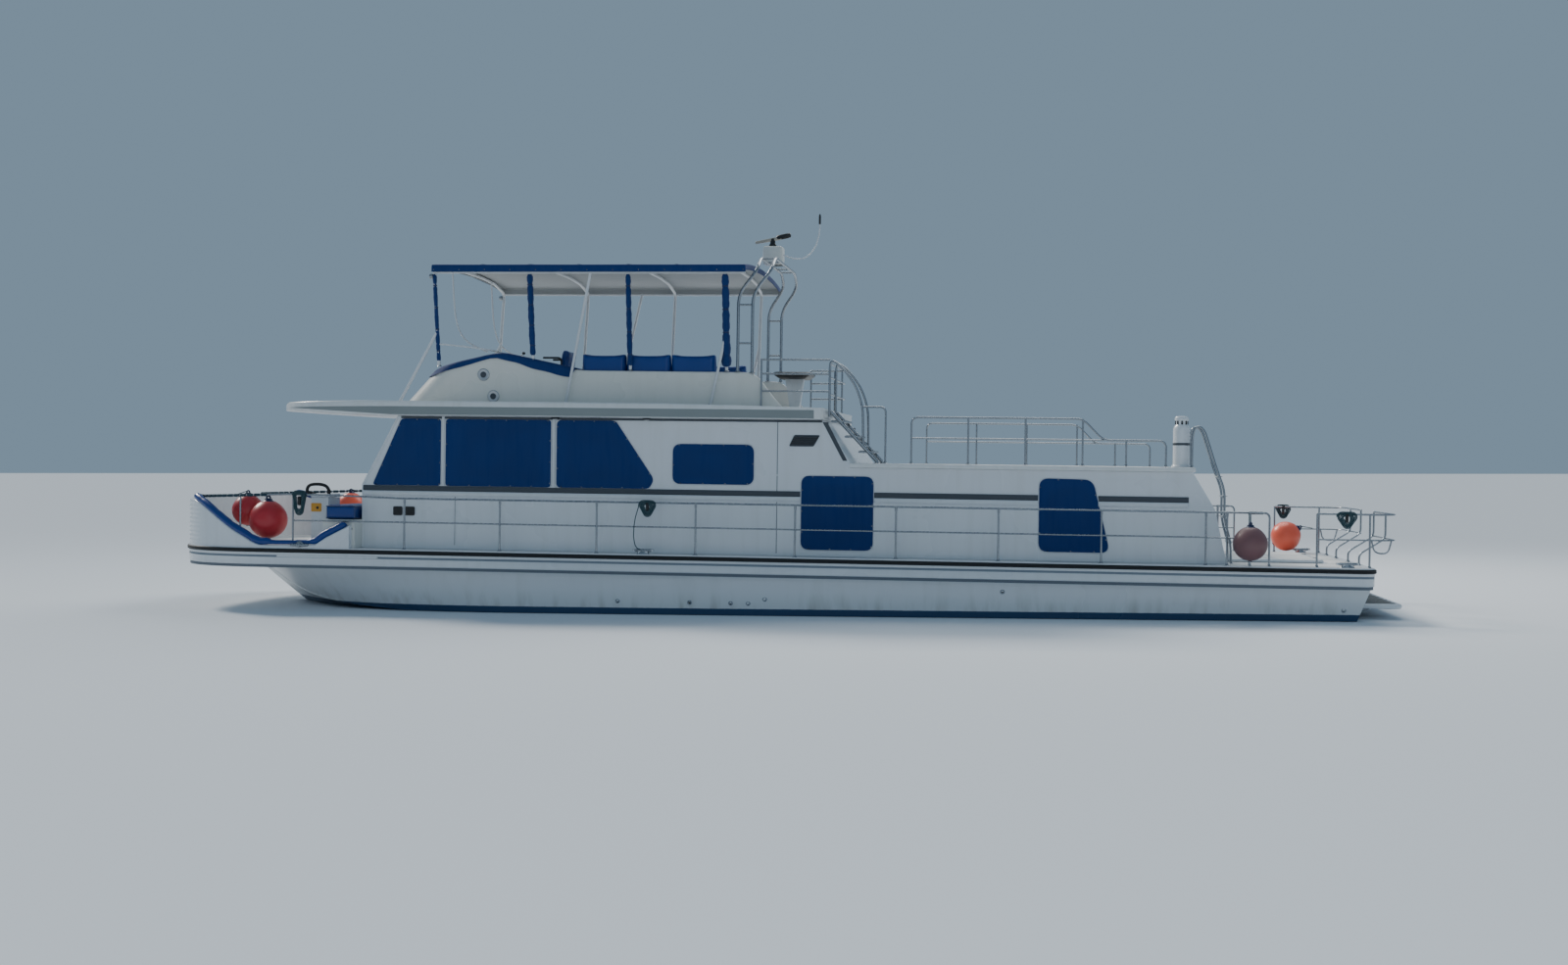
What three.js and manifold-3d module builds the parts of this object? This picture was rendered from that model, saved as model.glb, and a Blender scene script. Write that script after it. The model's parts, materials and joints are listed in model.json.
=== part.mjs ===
// Cabin houseboat, about 50 ft over its deck. Millimetres, +X forward, +Y to port, +Z up.
// The origin is amidships on the centreline, in the plane of the water that it floats in.
// It floats slightly bow-up, so everything is laid out level in one group that is turned by TRIM.
import * as THREE from "three";
import { mergeVertices } from "three/addons/utils/BufferGeometryUtils.js";
import Module from "manifold-3d";

const wasm = await Module();
wasm.setup();

// Driving dimensions
const TRIM = THREE.MathUtils.degToRad(0.76);
const GAP = 0.3; // between pieces that touch
const HALF_BEAM = 2135;
const STERN = -7620;
const SHOULDER = 6000; // where the deck's side turns in to the bow
const BOW_LENGTH = 1700; // from the shoulder to the bow
const BOW_FULLNESS = 3; // exponent of the bow's superellipse in plan
const STERN_CORNER = 160;
const DECK = 745; // walking surface
const DECK_STEP = 610;
const HULL_TOP = 490;
const RUB_LOW = 684;
const RUB_HIGH = 729;

const WALL = 40;
const CABIN = 1750; // half width over the cabin's sides
const INSIDE = CABIN - WALL;
const CABIN_FRONT = 5015;
const SILL = 1560; // the knuckle where the raked windshield starts
const EAVE = 2450;
const ROOF = 2600;
const WINDSHIELD_TOP_X = 4550;
const PANEL_JOINT = -390; // between the forward and the aft side panel
const ROOF_AFT = -970;
const STEP_TOP_X = -940; // the slanted break between the two roofs
const STEP_FOOT_X = -1300;
const STEP_FOOT_Z = 1925;
const AFT_EAVE = 1860;
const AFT_ROOF = 1920;
const BACK = [
  // x, z of the back wall's outer face, from the eave down to the deck
  [-5500, AFT_EAVE - GAP],
  [-5770, 1410],
  [-5920, DECK + GAP],
];

const COWL_SIDE = 1400;
const COWL_WALL = 60;
const COWL = [
  // x, z of the flybridge coaming's top edge
  [4680, ROOF + GAP],
  [4240, 3080],
  [3310, 3300],
  [2260, 3070],
  [-40, 3060],
  [-390, ROOF + GAP],
];

const RAIL_TOP = 1385;
const RAIL_MID = 1080;
const RAIL_R = 12.5;
const RAIL_INSET = 98;
const railY = HALF_BEAM - RAIL_INSET;
const RAIL_SIDES = 5;
const SIDE_POSTS = [4350, 3100, 1850, 590, -660, -1910, -3160, -4400, -5640, -5890];
const RAIL_END = -6385;
const BULWARK_POSTS = [6550, 5830];
const BULWARK = { outer: 8, inner: 122, low: 830, high: 1345 };
const BOLSTER_R = 34;

const CANOPY = { front: 4160, aft: 60, half: 1650, edge: 4330, shoulder: 4395, crown: 90, thick: 12 };
const BIMINI_POSTS = [4130, 2870, 1585, 330];
const BIMINI_R = 16;

const PROP = { x: -6750, y: 620, height: -650, r: 250, rake: 11 };
const SHAFT_R = 19;
const RUDDER = { x: -7130, y: 620 };
const HATCH = { aft: -7150, fore: -6050, half: 1050 };

// Helpers
const { PI, sin, cos, abs, sign, min, max } = Math;
const v2 = (x, y) => new THREE.Vector2(x, y);
const v3 = (x, y, z) => new THREE.Vector3(x, y, z);

// Height in the level layout of a place that is a given height above the water.
const afloat = (x, height) => height - x * Math.tan(TRIM);

// A geometry as a closed, outward-facing solid.
function solid(geometry) {
  const bare = geometry.clone();
  bare.deleteAttribute("normal");
  bare.deleteAttribute("uv");
  const merged = mergeVertices(bare, 1e-3);
  const place = merged.attributes.position;
  const faces = new Uint32Array(merged.index.array);
  const [a, b, c] = [v3(), v3(), v3()];
  let volume = 0;
  for (let i = 0; i < faces.length; i += 3) {
    a.fromBufferAttribute(place, faces[i]);
    b.fromBufferAttribute(place, faces[i + 1]);
    c.fromBufferAttribute(place, faces[i + 2]);
    volume += a.dot(b.cross(c));
  }
  if (volume < 0) faces.reverse();
  return new wasm.Manifold(
    new wasm.Mesh({ numProp: 3, vertProperties: place.array, triVerts: faces }),
  );
}

function geometryOf(body) {
  const { vertProperties, triVerts } = body.getMesh();
  return new THREE.BufferGeometry()
    .setAttribute("position", new THREE.BufferAttribute(new Float32Array(vertProperties), 3))
    .setIndex(new THREE.BufferAttribute(new Uint32Array(triVerts), 1));
}

const join = (...bodies) => bodies.flat().reduce((a, b) => a.add(b));
const cut = (body, ...tools) => tools.flat().reduce((a, b) => a.subtract(b), body);

const outline = (points) => new THREE.Shape(points.map(([x, y]) => v2(x, y)));

function extruded(points, length, matrix) {
  const options = { depth: length, bevelEnabled: false };
  return solid(new THREE.ExtrudeGeometry(outline(points), options).applyMatrix4(matrix));
}

// An outline in plan (x, y), raised from z0 to z1.
const plan = (points, z0, z1) =>
  extruded(points, z1 - z0, new THREE.Matrix4().makeTranslation(0, 0, z0));

// An outline seen from the side (x, z), spread from y0 to y1, with openings cut through it.
function side(points, y0, y1, openings = []) {
  const turn = new THREE.Matrix4().set(1, 0, 0, 0, 0, 0, -1, y1, 0, 1, 0, 0, 0, 0, 0, 1);
  const body = extruded(points, y1 - y0, turn);
  return cut(body, openings.map((opening) => side(opening, y0 - 5, y1 + 5)));
}

// An outline seen from ahead (y, z), spread from x0 to x1.
function across(points, x0, x1) {
  const turn = new THREE.Matrix4().set(0, 0, 1, x0, 1, 0, 0, 0, 0, 1, 0, 0, 0, 0, 0, 1);
  return extruded(points, x1 - x0, turn);
}

const block = (x0, x1, y0, y1, z0, z1) =>
  solid(
    new THREE.BoxGeometry(x1 - x0, y1 - y0, z1 - z0).translate(
      (x0 + x1) / 2,
      (y0 + y1) / 2,
      (z0 + z1) / 2,
    ),
  );

function ring(count, radius, phase = 0.5) {
  return Array.from({ length: count }, (_, i) => {
    const t = ((i + phase) / count) * 2 * PI;
    return [radius * cos(t), radius * sin(t)];
  });
}

// A straight round bar between two points.
function bar(from, to, radius, sides = RAIL_SIDES) {
  const along = to.clone().sub(from);
  const turn = new THREE.Quaternion().setFromUnitVectors(v3(0, 1, 0), along.clone().normalize());
  const g = new THREE.CylinderGeometry(radius, radius, along.length(), sides);
  return solid(g.applyQuaternion(turn).translate(...from.clone().lerp(to, 0.5).toArray()));
}

// A route on which each step of a sweep falls on one given point.
class Route extends THREE.Curve {
  constructor(points) {
    super();
    this.points = points;
  }
  getUtoTmapping(u) {
    return u;
  }
  getPoint(t, target = v3()) {
    const at = t * (this.points.length - 1);
    const i = min(Math.floor(at), this.points.length - 2);
    return target.copy(this.points[i]).lerp(this.points[i + 1], at - i);
  }
}

// A list of corners with each inner corner rounded off.
function rounded(corners, radius) {
  const last = corners.length - 1;
  return corners.flatMap((corner, i) => {
    if (i === 0 || i === last) return [corner];
    const back = corners[i - 1].clone().sub(corner);
    const on = corners[i + 1].clone().sub(corner);
    const reach = (leg) => min(radius, leg.length() * 0.45);
    const a = corner.clone().addScaledVector(back.clone().normalize(), reach(back));
    const b = corner.clone().addScaledVector(on.clone().normalize(), reach(on));
    return new THREE.QuadraticBezierCurve3(a, corner, b).getPoints(2);
  });
}

function tube(points, radius, sides = RAIL_SIDES) {
  const options = {
    steps: points.length - 1,
    bevelEnabled: false,
    extrudePath: new Route(points),
  };
  return solid(new THREE.ExtrudeGeometry(outline(ring(sides, radius)), options));
}

const bent = (corners, radius, bend = 120) =>
  tube(rounded(corners.map((p) => v3(...p)), bend), radius);

// A body of revolution about a vertical axis; its profile (r, z) starts and ends on the axis.
function turned(profile, x, y, segments = 16) {
  const g = new THREE.LatheGeometry(profile.map(([r, z]) => v2(r, z)), segments);
  return solid(g.rotateX(PI / 2).translate(x, y, 0));
}

// A closed skin over a row of rings that have the same number of points each.
function loft(rings) {
  const count = rings[0].length;
  const place = rings.flat(2);
  const faces = [];
  for (let r = 0; r < rings.length - 1; r++)
    for (let i = 0; i < count; i++) {
      const [a, b] = [r * count + i, r * count + ((i + 1) % count)];
      faces.push(a, b, b + count, a, b + count, a + count);
    }
  const end = (rings.length - 1) * count;
  for (let i = 1; i < count - 1; i++) faces.push(0, i + 1, i, end, end + i, end + i + 1);
  const g = new THREE.BufferGeometry();
  g.setAttribute("position", new THREE.Float32BufferAttribute(place, 3));
  g.setIndex(faces);
  return solid(g);
}

// Height of a broken line (rows of x, z with x falling) at x.
function heightOn(line, x) {
  for (let i = 0; i < line.length - 1; i++) {
    const [[x0, z0], [x1, z1]] = [line[i], line[i + 1]];
    if (x <= x0 && x >= x1) return z0 + ((z1 - z0) * (x0 - x)) / (x0 - x1);
  }
  return x > line[0][0] ? line[0][1] : line[line.length - 1][1];
}

function roundedBox(x0, x1, z0, z1, r) {
  const corner = (cx, cz, from) =>
    [0, 1, 2, 3].map((i) => {
      const t = from + (i / 3) * (PI / 2);
      return [cx + r * cos(t), cz + r * sin(t)];
    });
  return [
    ...corner(x1 - r, z1 - r, 0),
    ...corner(x0 + r, z1 - r, PI / 2),
    ...corner(x0 + r, z0 + r, PI),
    ...corner(x1 - r, z0 + r, 1.5 * PI),
  ];
}

// Finishes
const FINISH = {
  gelcoat: [0xe9ebe8, 0.25, 0],
  rubber: [0x111214, 0.7, 0],
  canvas: [0x10246b, 0.9, 0],
  vinyl: [0x12296f, 0.5, 0],
  glass: [0x20303c, 0.1, 0],
  stainless: [0xb9bec2, 0.25, 1],
  white_tube: [0xe4e6e6, 0.4, 0],
  bronze: [0x9a7b3c, 0.35, 1],
  grey_deck: [0x5d6468, 0.8, 0],
  buoy: [0xd8431f, 0.4, 0],
  rope: [0x17352f, 0.95, 0],
  engine: [0x3a4247, 0.5, 0.3],
  black_metal: [0x17181a, 0.5, 0.5],
};

const boat = new THREE.Group();
boat.rotation.y = -TRIM;

function add(name, body, finish, mirrored = false) {
  const [color, roughness, metalness] = FINISH[finish];
  const material = new THREE.MeshStandardMaterial({ color, roughness, metalness });
  const mesh = new THREE.Mesh(geometryOf(body), material);
  mesh.name = name;
  if (mirrored) mesh.scale.y = -1;
  boat.add(mesh);
}

// The same piece on both sides, worked out for port.
function pair(name, body, finish) {
  add(name + "_port", body, finish);
  add(name + "_starboard", body, finish, true);
}

// Deck edge in plan, at a distance inside the outermost edge
const deckHalfWidth = (x, inset = 0) => {
  const half = HALF_BEAM - inset;
  if (x <= SHOULDER) return half;
  const along = min((x - SHOULDER) / (BOW_LENGTH - inset), 1);
  return half * (1 - along ** BOW_FULLNESS) ** (1 / BOW_FULLNESS);
};

function bowArc(inset, count) {
  const power = 2 / BOW_FULLNESS;
  return Array.from({ length: count + 1 }, (_, i) => {
    const t = PI / 2 - (PI * i) / count;
    const x = SHOULDER + (BOW_LENGTH - inset) * max(cos(t), 0) ** power;
    return [x, (HALF_BEAM - inset) * sign(sin(t)) * abs(sin(t)) ** power];
  });
}

function deckPlan(inset) {
  const [stern, half] = [STERN + inset, HALF_BEAM - inset];
  return [
    [stern, half - STERN_CORNER],
    [stern + STERN_CORNER * 0.3, half - STERN_CORNER * 0.3],
    [stern + STERN_CORNER, half],
    ...bowArc(inset, 24),
    [stern + STERN_CORNER, -half],
    [stern + STERN_CORNER * 0.3, -half + STERN_CORNER * 0.3],
    [stern, -half + STERN_CORNER],
  ];
}

// Hull: straight-sided sections from transom to stem, heights above the water
const STATIONS = [
  // x, half breadth at the deck, half breadth at the chine, chine height, keel height
  [-7570, 2040, 1930, -60, -380],
  [-4000, 2050, 1960, -70, -450],
  [0, 2050, 1960, -60, -500],
  [3000, 2040, 1900, -30, -500],
  [4400, 1960, 1690, 10, -470],
  [5300, 1760, 1330, 70, -400],
  [5900, 1450, 890, 140, -240],
  [6340, 1050, 470, 250, 15],
  [6650, 640, 200, 380, 260],
  [6980, 80, 30, 560, 535],
];
const TRANSOM_RAKE = 0.36;
const TOP_OF_HULL = HULL_TOP - GAP;
const SALOON_WELL = [-1250, 4700, -1500, 1500]; // floors on top of the hull
const AFT_WELL = [-5350, -1450, -1500, 1500];
const SOLE = 60; // floor of the aft cabin
const ENGINE_BAY = [-7230, -5950, -1250, 1250];
const BAY_FLOOR = 40;

function hullSection([x, deckHalf, chineHalf, chine, keel], index) {
  const rows = [
    [deckHalf, TOP_OF_HULL],
    [chineHalf, afloat(x, chine)],
    [0, afloat(x, keel)],
    [-chineHalf, afloat(x, chine)],
    [-deckHalf, TOP_OF_HULL],
  ];
  const rake = index === 0 ? TRANSOM_RAKE : 0;
  return rows.map(([y, z]) => [x + (TOP_OF_HULL - z) * rake, y, z]);
}

const shaftRake = THREE.MathUtils.degToRad(PROP.rake);
const propZ = afloat(PROP.x, PROP.height);
const onShaft = (forward, y = PROP.y) =>
  v3(PROP.x + forward * cos(shaftRake), y, propZ + forward * sin(shaftRake));

// A strut that carries the shaft in a ring, ahead of the propeller
function strut(y) {
  const [aft, fore] = [onShaft(150, y), onShaft(270, y)];
  const ringOuter = bar(aft, fore, 42, 12);
  const bore = bar(onShaft(100, y), onShaft(320, y), SHAFT_R + 6, 12);
  const mid = onShaft(210, y);
  const arm = block(mid.x - 45, mid.x + 45, y - 9, y + 9, mid.z + 26, mid.z + 460);
  return cut(join(ringOuter, arm), bore);
}

const stockHole = (y) => bar(v3(RUDDER.x, y, -900), v3(RUDDER.x, y, -60), 26, 12);
add(
  "hull",
  cut(
    join(loft(STATIONS.map(hullSection)), strut(PROP.y), strut(-PROP.y)),
    block(...AFT_WELL, SOLE, HULL_TOP + 50),
    block(...ENGINE_BAY, BAY_FLOOR, HULL_TOP + 50),
    stockHole(RUDDER.y),
    stockHole(-RUDDER.y),
  ),
  "gelcoat",
);

// Deck moulding with its mooring cleats, open to the cabins and the engines
const CLEAT = { half: 130, high: 60 };
const CLEATS = [1250, -7300];
const cleat = (x, y) =>
  join(
    block(x - 60, x + 60, y - 22, y + 22, DECK - 1, DECK + 36),
    block(x - CLEAT.half, x + CLEAT.half, y - 14, y + 14, DECK + 35, DECK + CLEAT.high),
  );
const hatchOpening = block(HATCH.aft, HATCH.fore, -HATCH.half, HATCH.half, 0, DECK + 50);
add(
  "deck_moulding",
  cut(
    join(
      plan(deckPlan(0), DECK_STEP, DECK),
      plan(deckPlan(14), HULL_TOP, DECK_STEP + 1),
      CLEATS.flatMap((x) => [cleat(x, railY), cleat(x, -railY)]),
    ),
    block(...SALOON_WELL, 0, DECK + 50),
    block(...AFT_WELL, 0, DECK + 50),
    hatchOpening,
  ),
  "gelcoat",
);
add(
  "rub_rail",
  cut(plan(deckPlan(-26), RUB_LOW, RUB_HIGH), plan(deckPlan(-GAP), RUB_LOW - 5, RUB_HIGH + 5)),
  "rubber",
);

// Swim platform on two brackets, hung on the transom
const PLATFORM = { aft: -8040, half: 1600, low: 235, high: 290, bracketLow: 40 };
const transomAt = (z) => STATIONS[0][0] + (TOP_OF_HULL - z) * TRANSOM_RAKE;
const platformFore = transomAt(PLATFORM.low) - 1;
const bracket = (y) =>
  side(
    [
      [platformFore - 3, PLATFORM.low + 5],
      [transomAt(PLATFORM.bracketLow) - 1, PLATFORM.bracketLow],
      [PLATFORM.aft + 160, PLATFORM.low + 5],
    ],
    y - 15,
    y + 15,
  );
add(
  "swim_platform",
  join(
    plan(
      [
        [platformFore - 20, -PLATFORM.half],
        [platformFore - 20, PLATFORM.half],
        [PLATFORM.aft + 150, PLATFORM.half],
        [PLATFORM.aft, PLATFORM.half - 150],
        [PLATFORM.aft, -PLATFORM.half + 150],
        [PLATFORM.aft + 150, -PLATFORM.half],
      ],
      PLATFORM.low,
      PLATFORM.high,
    ),
    bracket(900),
    bracket(-900),
  ),
  "grey_deck",
);

// Bow bulwark with its two bench seats
const BULWARK_TOP = [
  [7480, BULWARK.high],
  [7060, 1175],
  [6780, 1000],
  [6550, 880],
  [6370, BULWARK.low],
  [5540, BULWARK.low],
  [5300, 970],
  [5050, 1068],
];
const BENCH = { fore: 5440, aft: CABIN_FRONT + GAP, inner: 900, outer: 2018, top: 1110 };
const bulwarkWall = cut(
  plan(deckPlan(BULWARK.outer), DECK + GAP, BULWARK.high),
  plan(deckPlan(BULWARK.inner), DECK - 5, BULWARK.high + 5),
  block(STERN - 50, 5050, -3000, 3000, 0, 3000),
);
const overBulwark = side(
  [
    ...BULWARK_TOP.slice(1),
    [5000, 1068],
    [5000, 1600],
    [7480, 1600],
    BULWARK_TOP[0],
  ],
  -3000,
  3000,
);
const bench = block(BENCH.aft, BENCH.fore, BENCH.inner, BENCH.outer, DECK + GAP, BENCH.top);
const benchTwin = block(BENCH.aft, BENCH.fore, -BENCH.outer, -BENCH.inner, DECK + GAP, BENCH.top);
const SIDE_CLEAT = { x: 5700, low: 760, high: 805, out: 2158 };
const sideCleat = (s) => {
  const { x, low, high, out } = SIDE_CLEAT;
  const [root, base, face] = [s * 2110, s * 2140, s * out];
  return join(
    block(x - 60, x + 60, min(root, base), max(root, base), low, high),
    block(x - 110, x + 110, min(base, face), max(base, face), low + 8, high - 8),
  );
};
add(
  "bow_bulwark",
  join(cut(bulwarkWall, overBulwark), bench, benchTwin, sideCleat(1), sideCleat(-1)),
  "gelcoat",
);

// Padded roll along the bulwark's edge
function bolsterRoute() {
  const xs = [7330, 7200, 7060, 6900, 6780, 6660, 6550, 6450, 6370, 6200, 5950, 5700];
  xs.push(5540, 5420, 5300, 5180, 5090);
  return xs.map((x) => {
    const inset = 42;
    const z = heightOn(BULWARK_TOP, x) + BOLSTER_R + 10;
    return v3(x, deckHalfWidth(x, inset), z);
  });
}
pair("bow_bolster", tube(bolsterRoute(), BOLSTER_R, 8), "vinyl");
add(
  "bow_seat_cushion",
  block(BENCH.aft + 10, BENCH.fore - 20, BENCH.inner + 20, 1990, BENCH.top + GAP, 1280),
  "vinyl",
);

// Foredeck locker with a hinged lid
const LOCKER = { aft: 5475, fore: 5705, inner: 1330, outer: 1740, top: 1380, lid: 1430 };
const lockerShell = cut(
  block(LOCKER.aft, LOCKER.fore, LOCKER.inner, LOCKER.outer, DECK + GAP, LOCKER.top),
  block(
    LOCKER.aft + 25,
    LOCKER.fore - 25,
    LOCKER.inner + 25,
    LOCKER.outer - 25,
    DECK + 30,
    LOCKER.top + 5,
  ),
);
add("foredeck_locker", lockerShell, "gelcoat");
const lidHoop = bent(
  [
    [LOCKER.fore - 15, 1690, LOCKER.lid - 1],
    [LOCKER.fore - 15, 1690, LOCKER.lid + 150],
    [LOCKER.aft + 15, 1690, LOCKER.lid + 150],
    [LOCKER.aft + 15, 1690, LOCKER.lid - 1],
  ],
  13,
  90,
);
add(
  "foredeck_locker_lid",
  join(
    block(
      LOCKER.aft - 10,
      LOCKER.fore + 10,
      LOCKER.inner - 10,
      LOCKER.outer + 10,
      LOCKER.top + 5,
      LOCKER.lid,
    ),
    lidHoop,
  ),
  "gelcoat",
);

// Cabin sides: a forward and an aft panel on each side, with their windows cut
const WINDOW_LOW = 1590;
const WINDOW_HIGH = 2425;
const FORWARD_WINDOWS = [
  [
    [4840, WINDOW_LOW],
    [4480, WINDOW_HIGH],
    [3990, WINDOW_HIGH],
    [3990, WINDOW_LOW],
  ],
  [
    [3890, WINDOW_LOW],
    [3890, WINDOW_HIGH],
    [2540, WINDOW_HIGH],
    [2540, WINDOW_LOW],
  ],
  [
    [2430, WINDOW_LOW],
    [2430, WINDOW_HIGH],
    [1690, WINDOW_HIGH],
    [1200, 1690],
    [1260, WINDOW_LOW],
  ],
  roundedBox(-80, 930, 1640, 2120, 90),
];
const AFT_WINDOWS = [
  roundedBox(-1590, -710, 840, 1740, 90),
  [
    [-3730, 870],
    [-3660, 940],
    [-3660, 1680],
    [-3730, 1750],
    [-4230, 1740],
    [-4310, 1680],
    [-4500, 950],
    [-4430, 870],
  ],
];
pair(
  "forward_cabin_side",
  side(
    [
      [CABIN_FRONT, DECK + GAP],
      [CABIN_FRONT, SILL],
      [WINDSHIELD_TOP_X, EAVE - GAP],
      [PANEL_JOINT, EAVE - GAP],
      [PANEL_JOINT, DECK + GAP],
    ],
    INSIDE,
    CABIN,
    FORWARD_WINDOWS,
  ),
  "gelcoat",
);
pair(
  "aft_cabin_side",
  side(
    [
      [PANEL_JOINT - GAP, DECK + GAP],
      [PANEL_JOINT - GAP, EAVE - GAP],
      [STEP_TOP_X, EAVE - GAP],
      [STEP_FOOT_X, STEP_FOOT_Z],
      [STEP_FOOT_X, AFT_EAVE - GAP],
      ...BACK,
    ],
    INSIDE,
    CABIN,
    AFT_WINDOWS,
  ),
  "gelcoat",
);
add(
  "main_cabin_aft_wall",
  side(
    [
      [STEP_TOP_X, EAVE - GAP],
      [STEP_FOOT_X, STEP_FOOT_Z],
      [STEP_FOOT_X, AFT_EAVE],
      [STEP_FOOT_X + 42, AFT_EAVE],
      [STEP_FOOT_X + 42, STEP_FOOT_Z + 12],
      [STEP_TOP_X + 48, EAVE - GAP],
    ],
    -INSIDE + GAP,
    INSIDE - GAP,
  ),
  "gelcoat",
);

// A wall that follows a broken line in side view: [x, z] rows, from depth d0 to d1 behind it
function bentWall(line, d0, d1, y0, y1) {
  const shifted = (d) => line.map(([x, z]) => [x + d, z]);
  return side([...shifted(d0), ...shifted(d1).reverse()], y0, y1);
}
const FRONT = [
  [CABIN_FRONT, DECK + GAP],
  [CABIN_FRONT, SILL],
  [WINDSHIELD_TOP_X, EAVE - GAP],
];
const DOOR = { half: 400, low: 790, high: 2340 };
const frontDoorHole = block(4000, 5200, -DOOR.half, DOOR.half, DOOR.low, DOOR.high);
const windshieldHoles = [-1, 1].map((s) => {
  const [a, b] = [s * 480, s * 1640];
  return block(4000, 5200, min(a, b), max(a, b), 1630, 2400);
});
add(
  "cabin_front",
  cut(
    bentWall(FRONT, 0, -WALL, -INSIDE + GAP, INSIDE - GAP),
    frontDoorHole,
    ...windshieldHoles,
  ),
  "gelcoat",
);

// Glass: sheets on the inside of the walls
const GLASS = 6;
add(
  "windshield_glass",
  cut(
    bentWall(FRONT.slice(1), -WALL - GAP, -WALL - GLASS, -INSIDE + 30, INSIDE - 30),
    block(4000, 5200, -DOOR.half - 20, DOOR.half + 20, DOOR.low, DOOR.high + 20),
  ),
  "glass",
);
const paneLow = (points, z0, z1) =>
  side([[points[0], z0], [points[0], z1], [points[1], z1], [points[1], z0]], INSIDE - GLASS, INSIDE - GAP);
pair(
  "forward_side_glass",
  side(
    [
      [4900, WINDOW_LOW - 20],
      [4495, 2435],
      [-110, 2435],
      [-110, WINDOW_LOW - 20],
    ],
    INSIDE - GLASS,
    INSIDE - GAP,
  ),
  "glass",
);
pair("aft_side_glass", paneLow([-670, -4560], 800, 1780), "glass");

// Sliding doors: each keeps its wall's bent profile and slides across the boat
const DOOR_GAP = 8;
const DOOR_THICK = 26;
const doorLow = DECK + 10;
const frontDoorLine = [
  [CABIN_FRONT, doorLow],
  [CABIN_FRONT, SILL],
  [WINDSHIELD_TOP_X + ((EAVE - 2400) * (CABIN_FRONT - WINDSHIELD_TOP_X)) / (EAVE - SILL), 2400],
];
const doorNear = -WALL - GLASS - DOOR_GAP;
add(
  "front_door",
  bentWall(frontDoorLine, doorNear, doorNear - DOOR_THICK, -DOOR.half - 30, DOOR.half + 30),
  "glass",
);

// Back wall of the aft cabin and its sliding door
const BACK_DOOR = { half: 350, low: 790, high: 1790 };
add(
  "aft_cabin_back",
  cut(
    bentWall([...BACK].reverse(), 0, WALL, -INSIDE + GAP, INSIDE - GAP),
    block(-6000, -5300, -BACK_DOOR.half, BACK_DOOR.half, BACK_DOOR.low, BACK_DOOR.high),
  ),
  "gelcoat",
);
function backAt(z) {
  const [[x0, z0], [x1, z1]] = z > BACK[1][1] ? BACK.slice(0, 2) : BACK.slice(1);
  return x0 + ((x1 - x0) * (z0 - z)) / (z0 - z1);
}
const backDoorTop = 1825;
const backDoorLine = [
  [backAt(doorLow), doorLow],
  BACK[1],
  [backAt(backDoorTop), backDoorTop],
];
add(
  "aft_door",
  bentWall(
    backDoorLine,
    WALL + DOOR_GAP,
    WALL + DOOR_GAP + DOOR_THICK,
    -BACK_DOOR.half - 30,
    BACK_DOOR.half + 30,
  ),
  "glass",
);

// Roofs: the main roof carries the visor and the flybridge, the aft one the sundeck
const VISOR = { tip: 6500, start: 4700, half: 1900 };
function visorPlan() {
  const arc = Array.from({ length: 17 }, (_, i) => {
    const t = PI / 2 - (PI * i) / 16;
    const power = 2 / 2.6;
    return [
      VISOR.start + (VISOR.tip - VISOR.start) * max(cos(t), 0) ** power,
      VISOR.half * sign(sin(t)) * abs(sin(t)) ** power,
    ];
  });
  return [[ROOF_AFT, VISOR.half], ...arc, [ROOF_AFT, -VISOR.half]];
}
add(
  "main_roof",
  plan(visorPlan(), EAVE, ROOF).intersect(
    side(
      [
        [ROOF_AFT - 5, EAVE],
        [4900, EAVE],
        [6520, 2520],
        [6520, 2565],
        [6200, ROOF],
        [ROOF_AFT - 5, ROOF],
      ],
      -2000,
      2000,
    ),
  ),
  "gelcoat",
);
add(
  "aft_cabin_roof",
  plan(
    [
      [STEP_FOOT_X - GAP, -1800],
      [STEP_FOOT_X - GAP, 1800],
      [-5440, 1800],
      [-5540, 1700],
      [-5540, -1700],
      [-5440, -1800],
    ],
    AFT_EAVE,
    AFT_ROOF,
  ),
  "gelcoat",
);

// Flybridge: a raked cowl open behind, its console, wheel and seats
const COWL_CORNER = 420; // radius where its front turns into its sides
const COWL_FRONT_WALL = 75;
const [[cowlFootX, cowlFootZ], [cowlBrowX, cowlBrowZ], [cowlPeakX, cowlPeakZ]] = COWL;
const cowlRake = (cowlFootX - cowlBrowX) / (cowlBrowZ - cowlFootZ);

// The cowl in plan at one height: its front leans aft as it rises
function cowlRing(z, inset, frontInset) {
  const half = COWL_SIDE - inset;
  const front = cowlFootX - (z - cowlFootZ) * cowlRake - frontInset;
  const arc = [0, 1, 2, 3, 4, 5, 6].map((i) => {
    const t = PI / 2 - (i / 6) * (PI / 2);
    return [front - COWL_CORNER * (1 - cos(t)), half - COWL_CORNER * (1 - sin(t)), z];
  });
  const mirrored = arc.map(([x, y]) => [x, -y, z]).reverse();
  return [[-500, half, z], ...arc, ...mirrored, [-500, -half, z]];
}
const browSlope = (cowlPeakZ - cowlBrowZ) / (cowlBrowX - cowlPeakX);
const cowlShape = side(
  [[cowlFootX + 20, cowlFootZ], [cowlFootX + 20, cowlBrowZ - (cowlFootX + 20 - cowlBrowX) * browSlope], ...COWL.slice(2)],
  -1500,
  1500,
);
const cowlOuter = loft([cowlRing(ROOF + GAP, 0, 0), cowlRing(3400, 0, 0)]).intersect(cowlShape);
const cowlInner = loft([
  cowlRing(ROOF - 10, COWL_WALL, COWL_FRONT_WALL),
  cowlRing(3500, COWL_WALL, COWL_FRONT_WALL),
]);
add("flybridge_cowl", cut(cowlOuter, cowlInner), "gelcoat");
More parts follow.
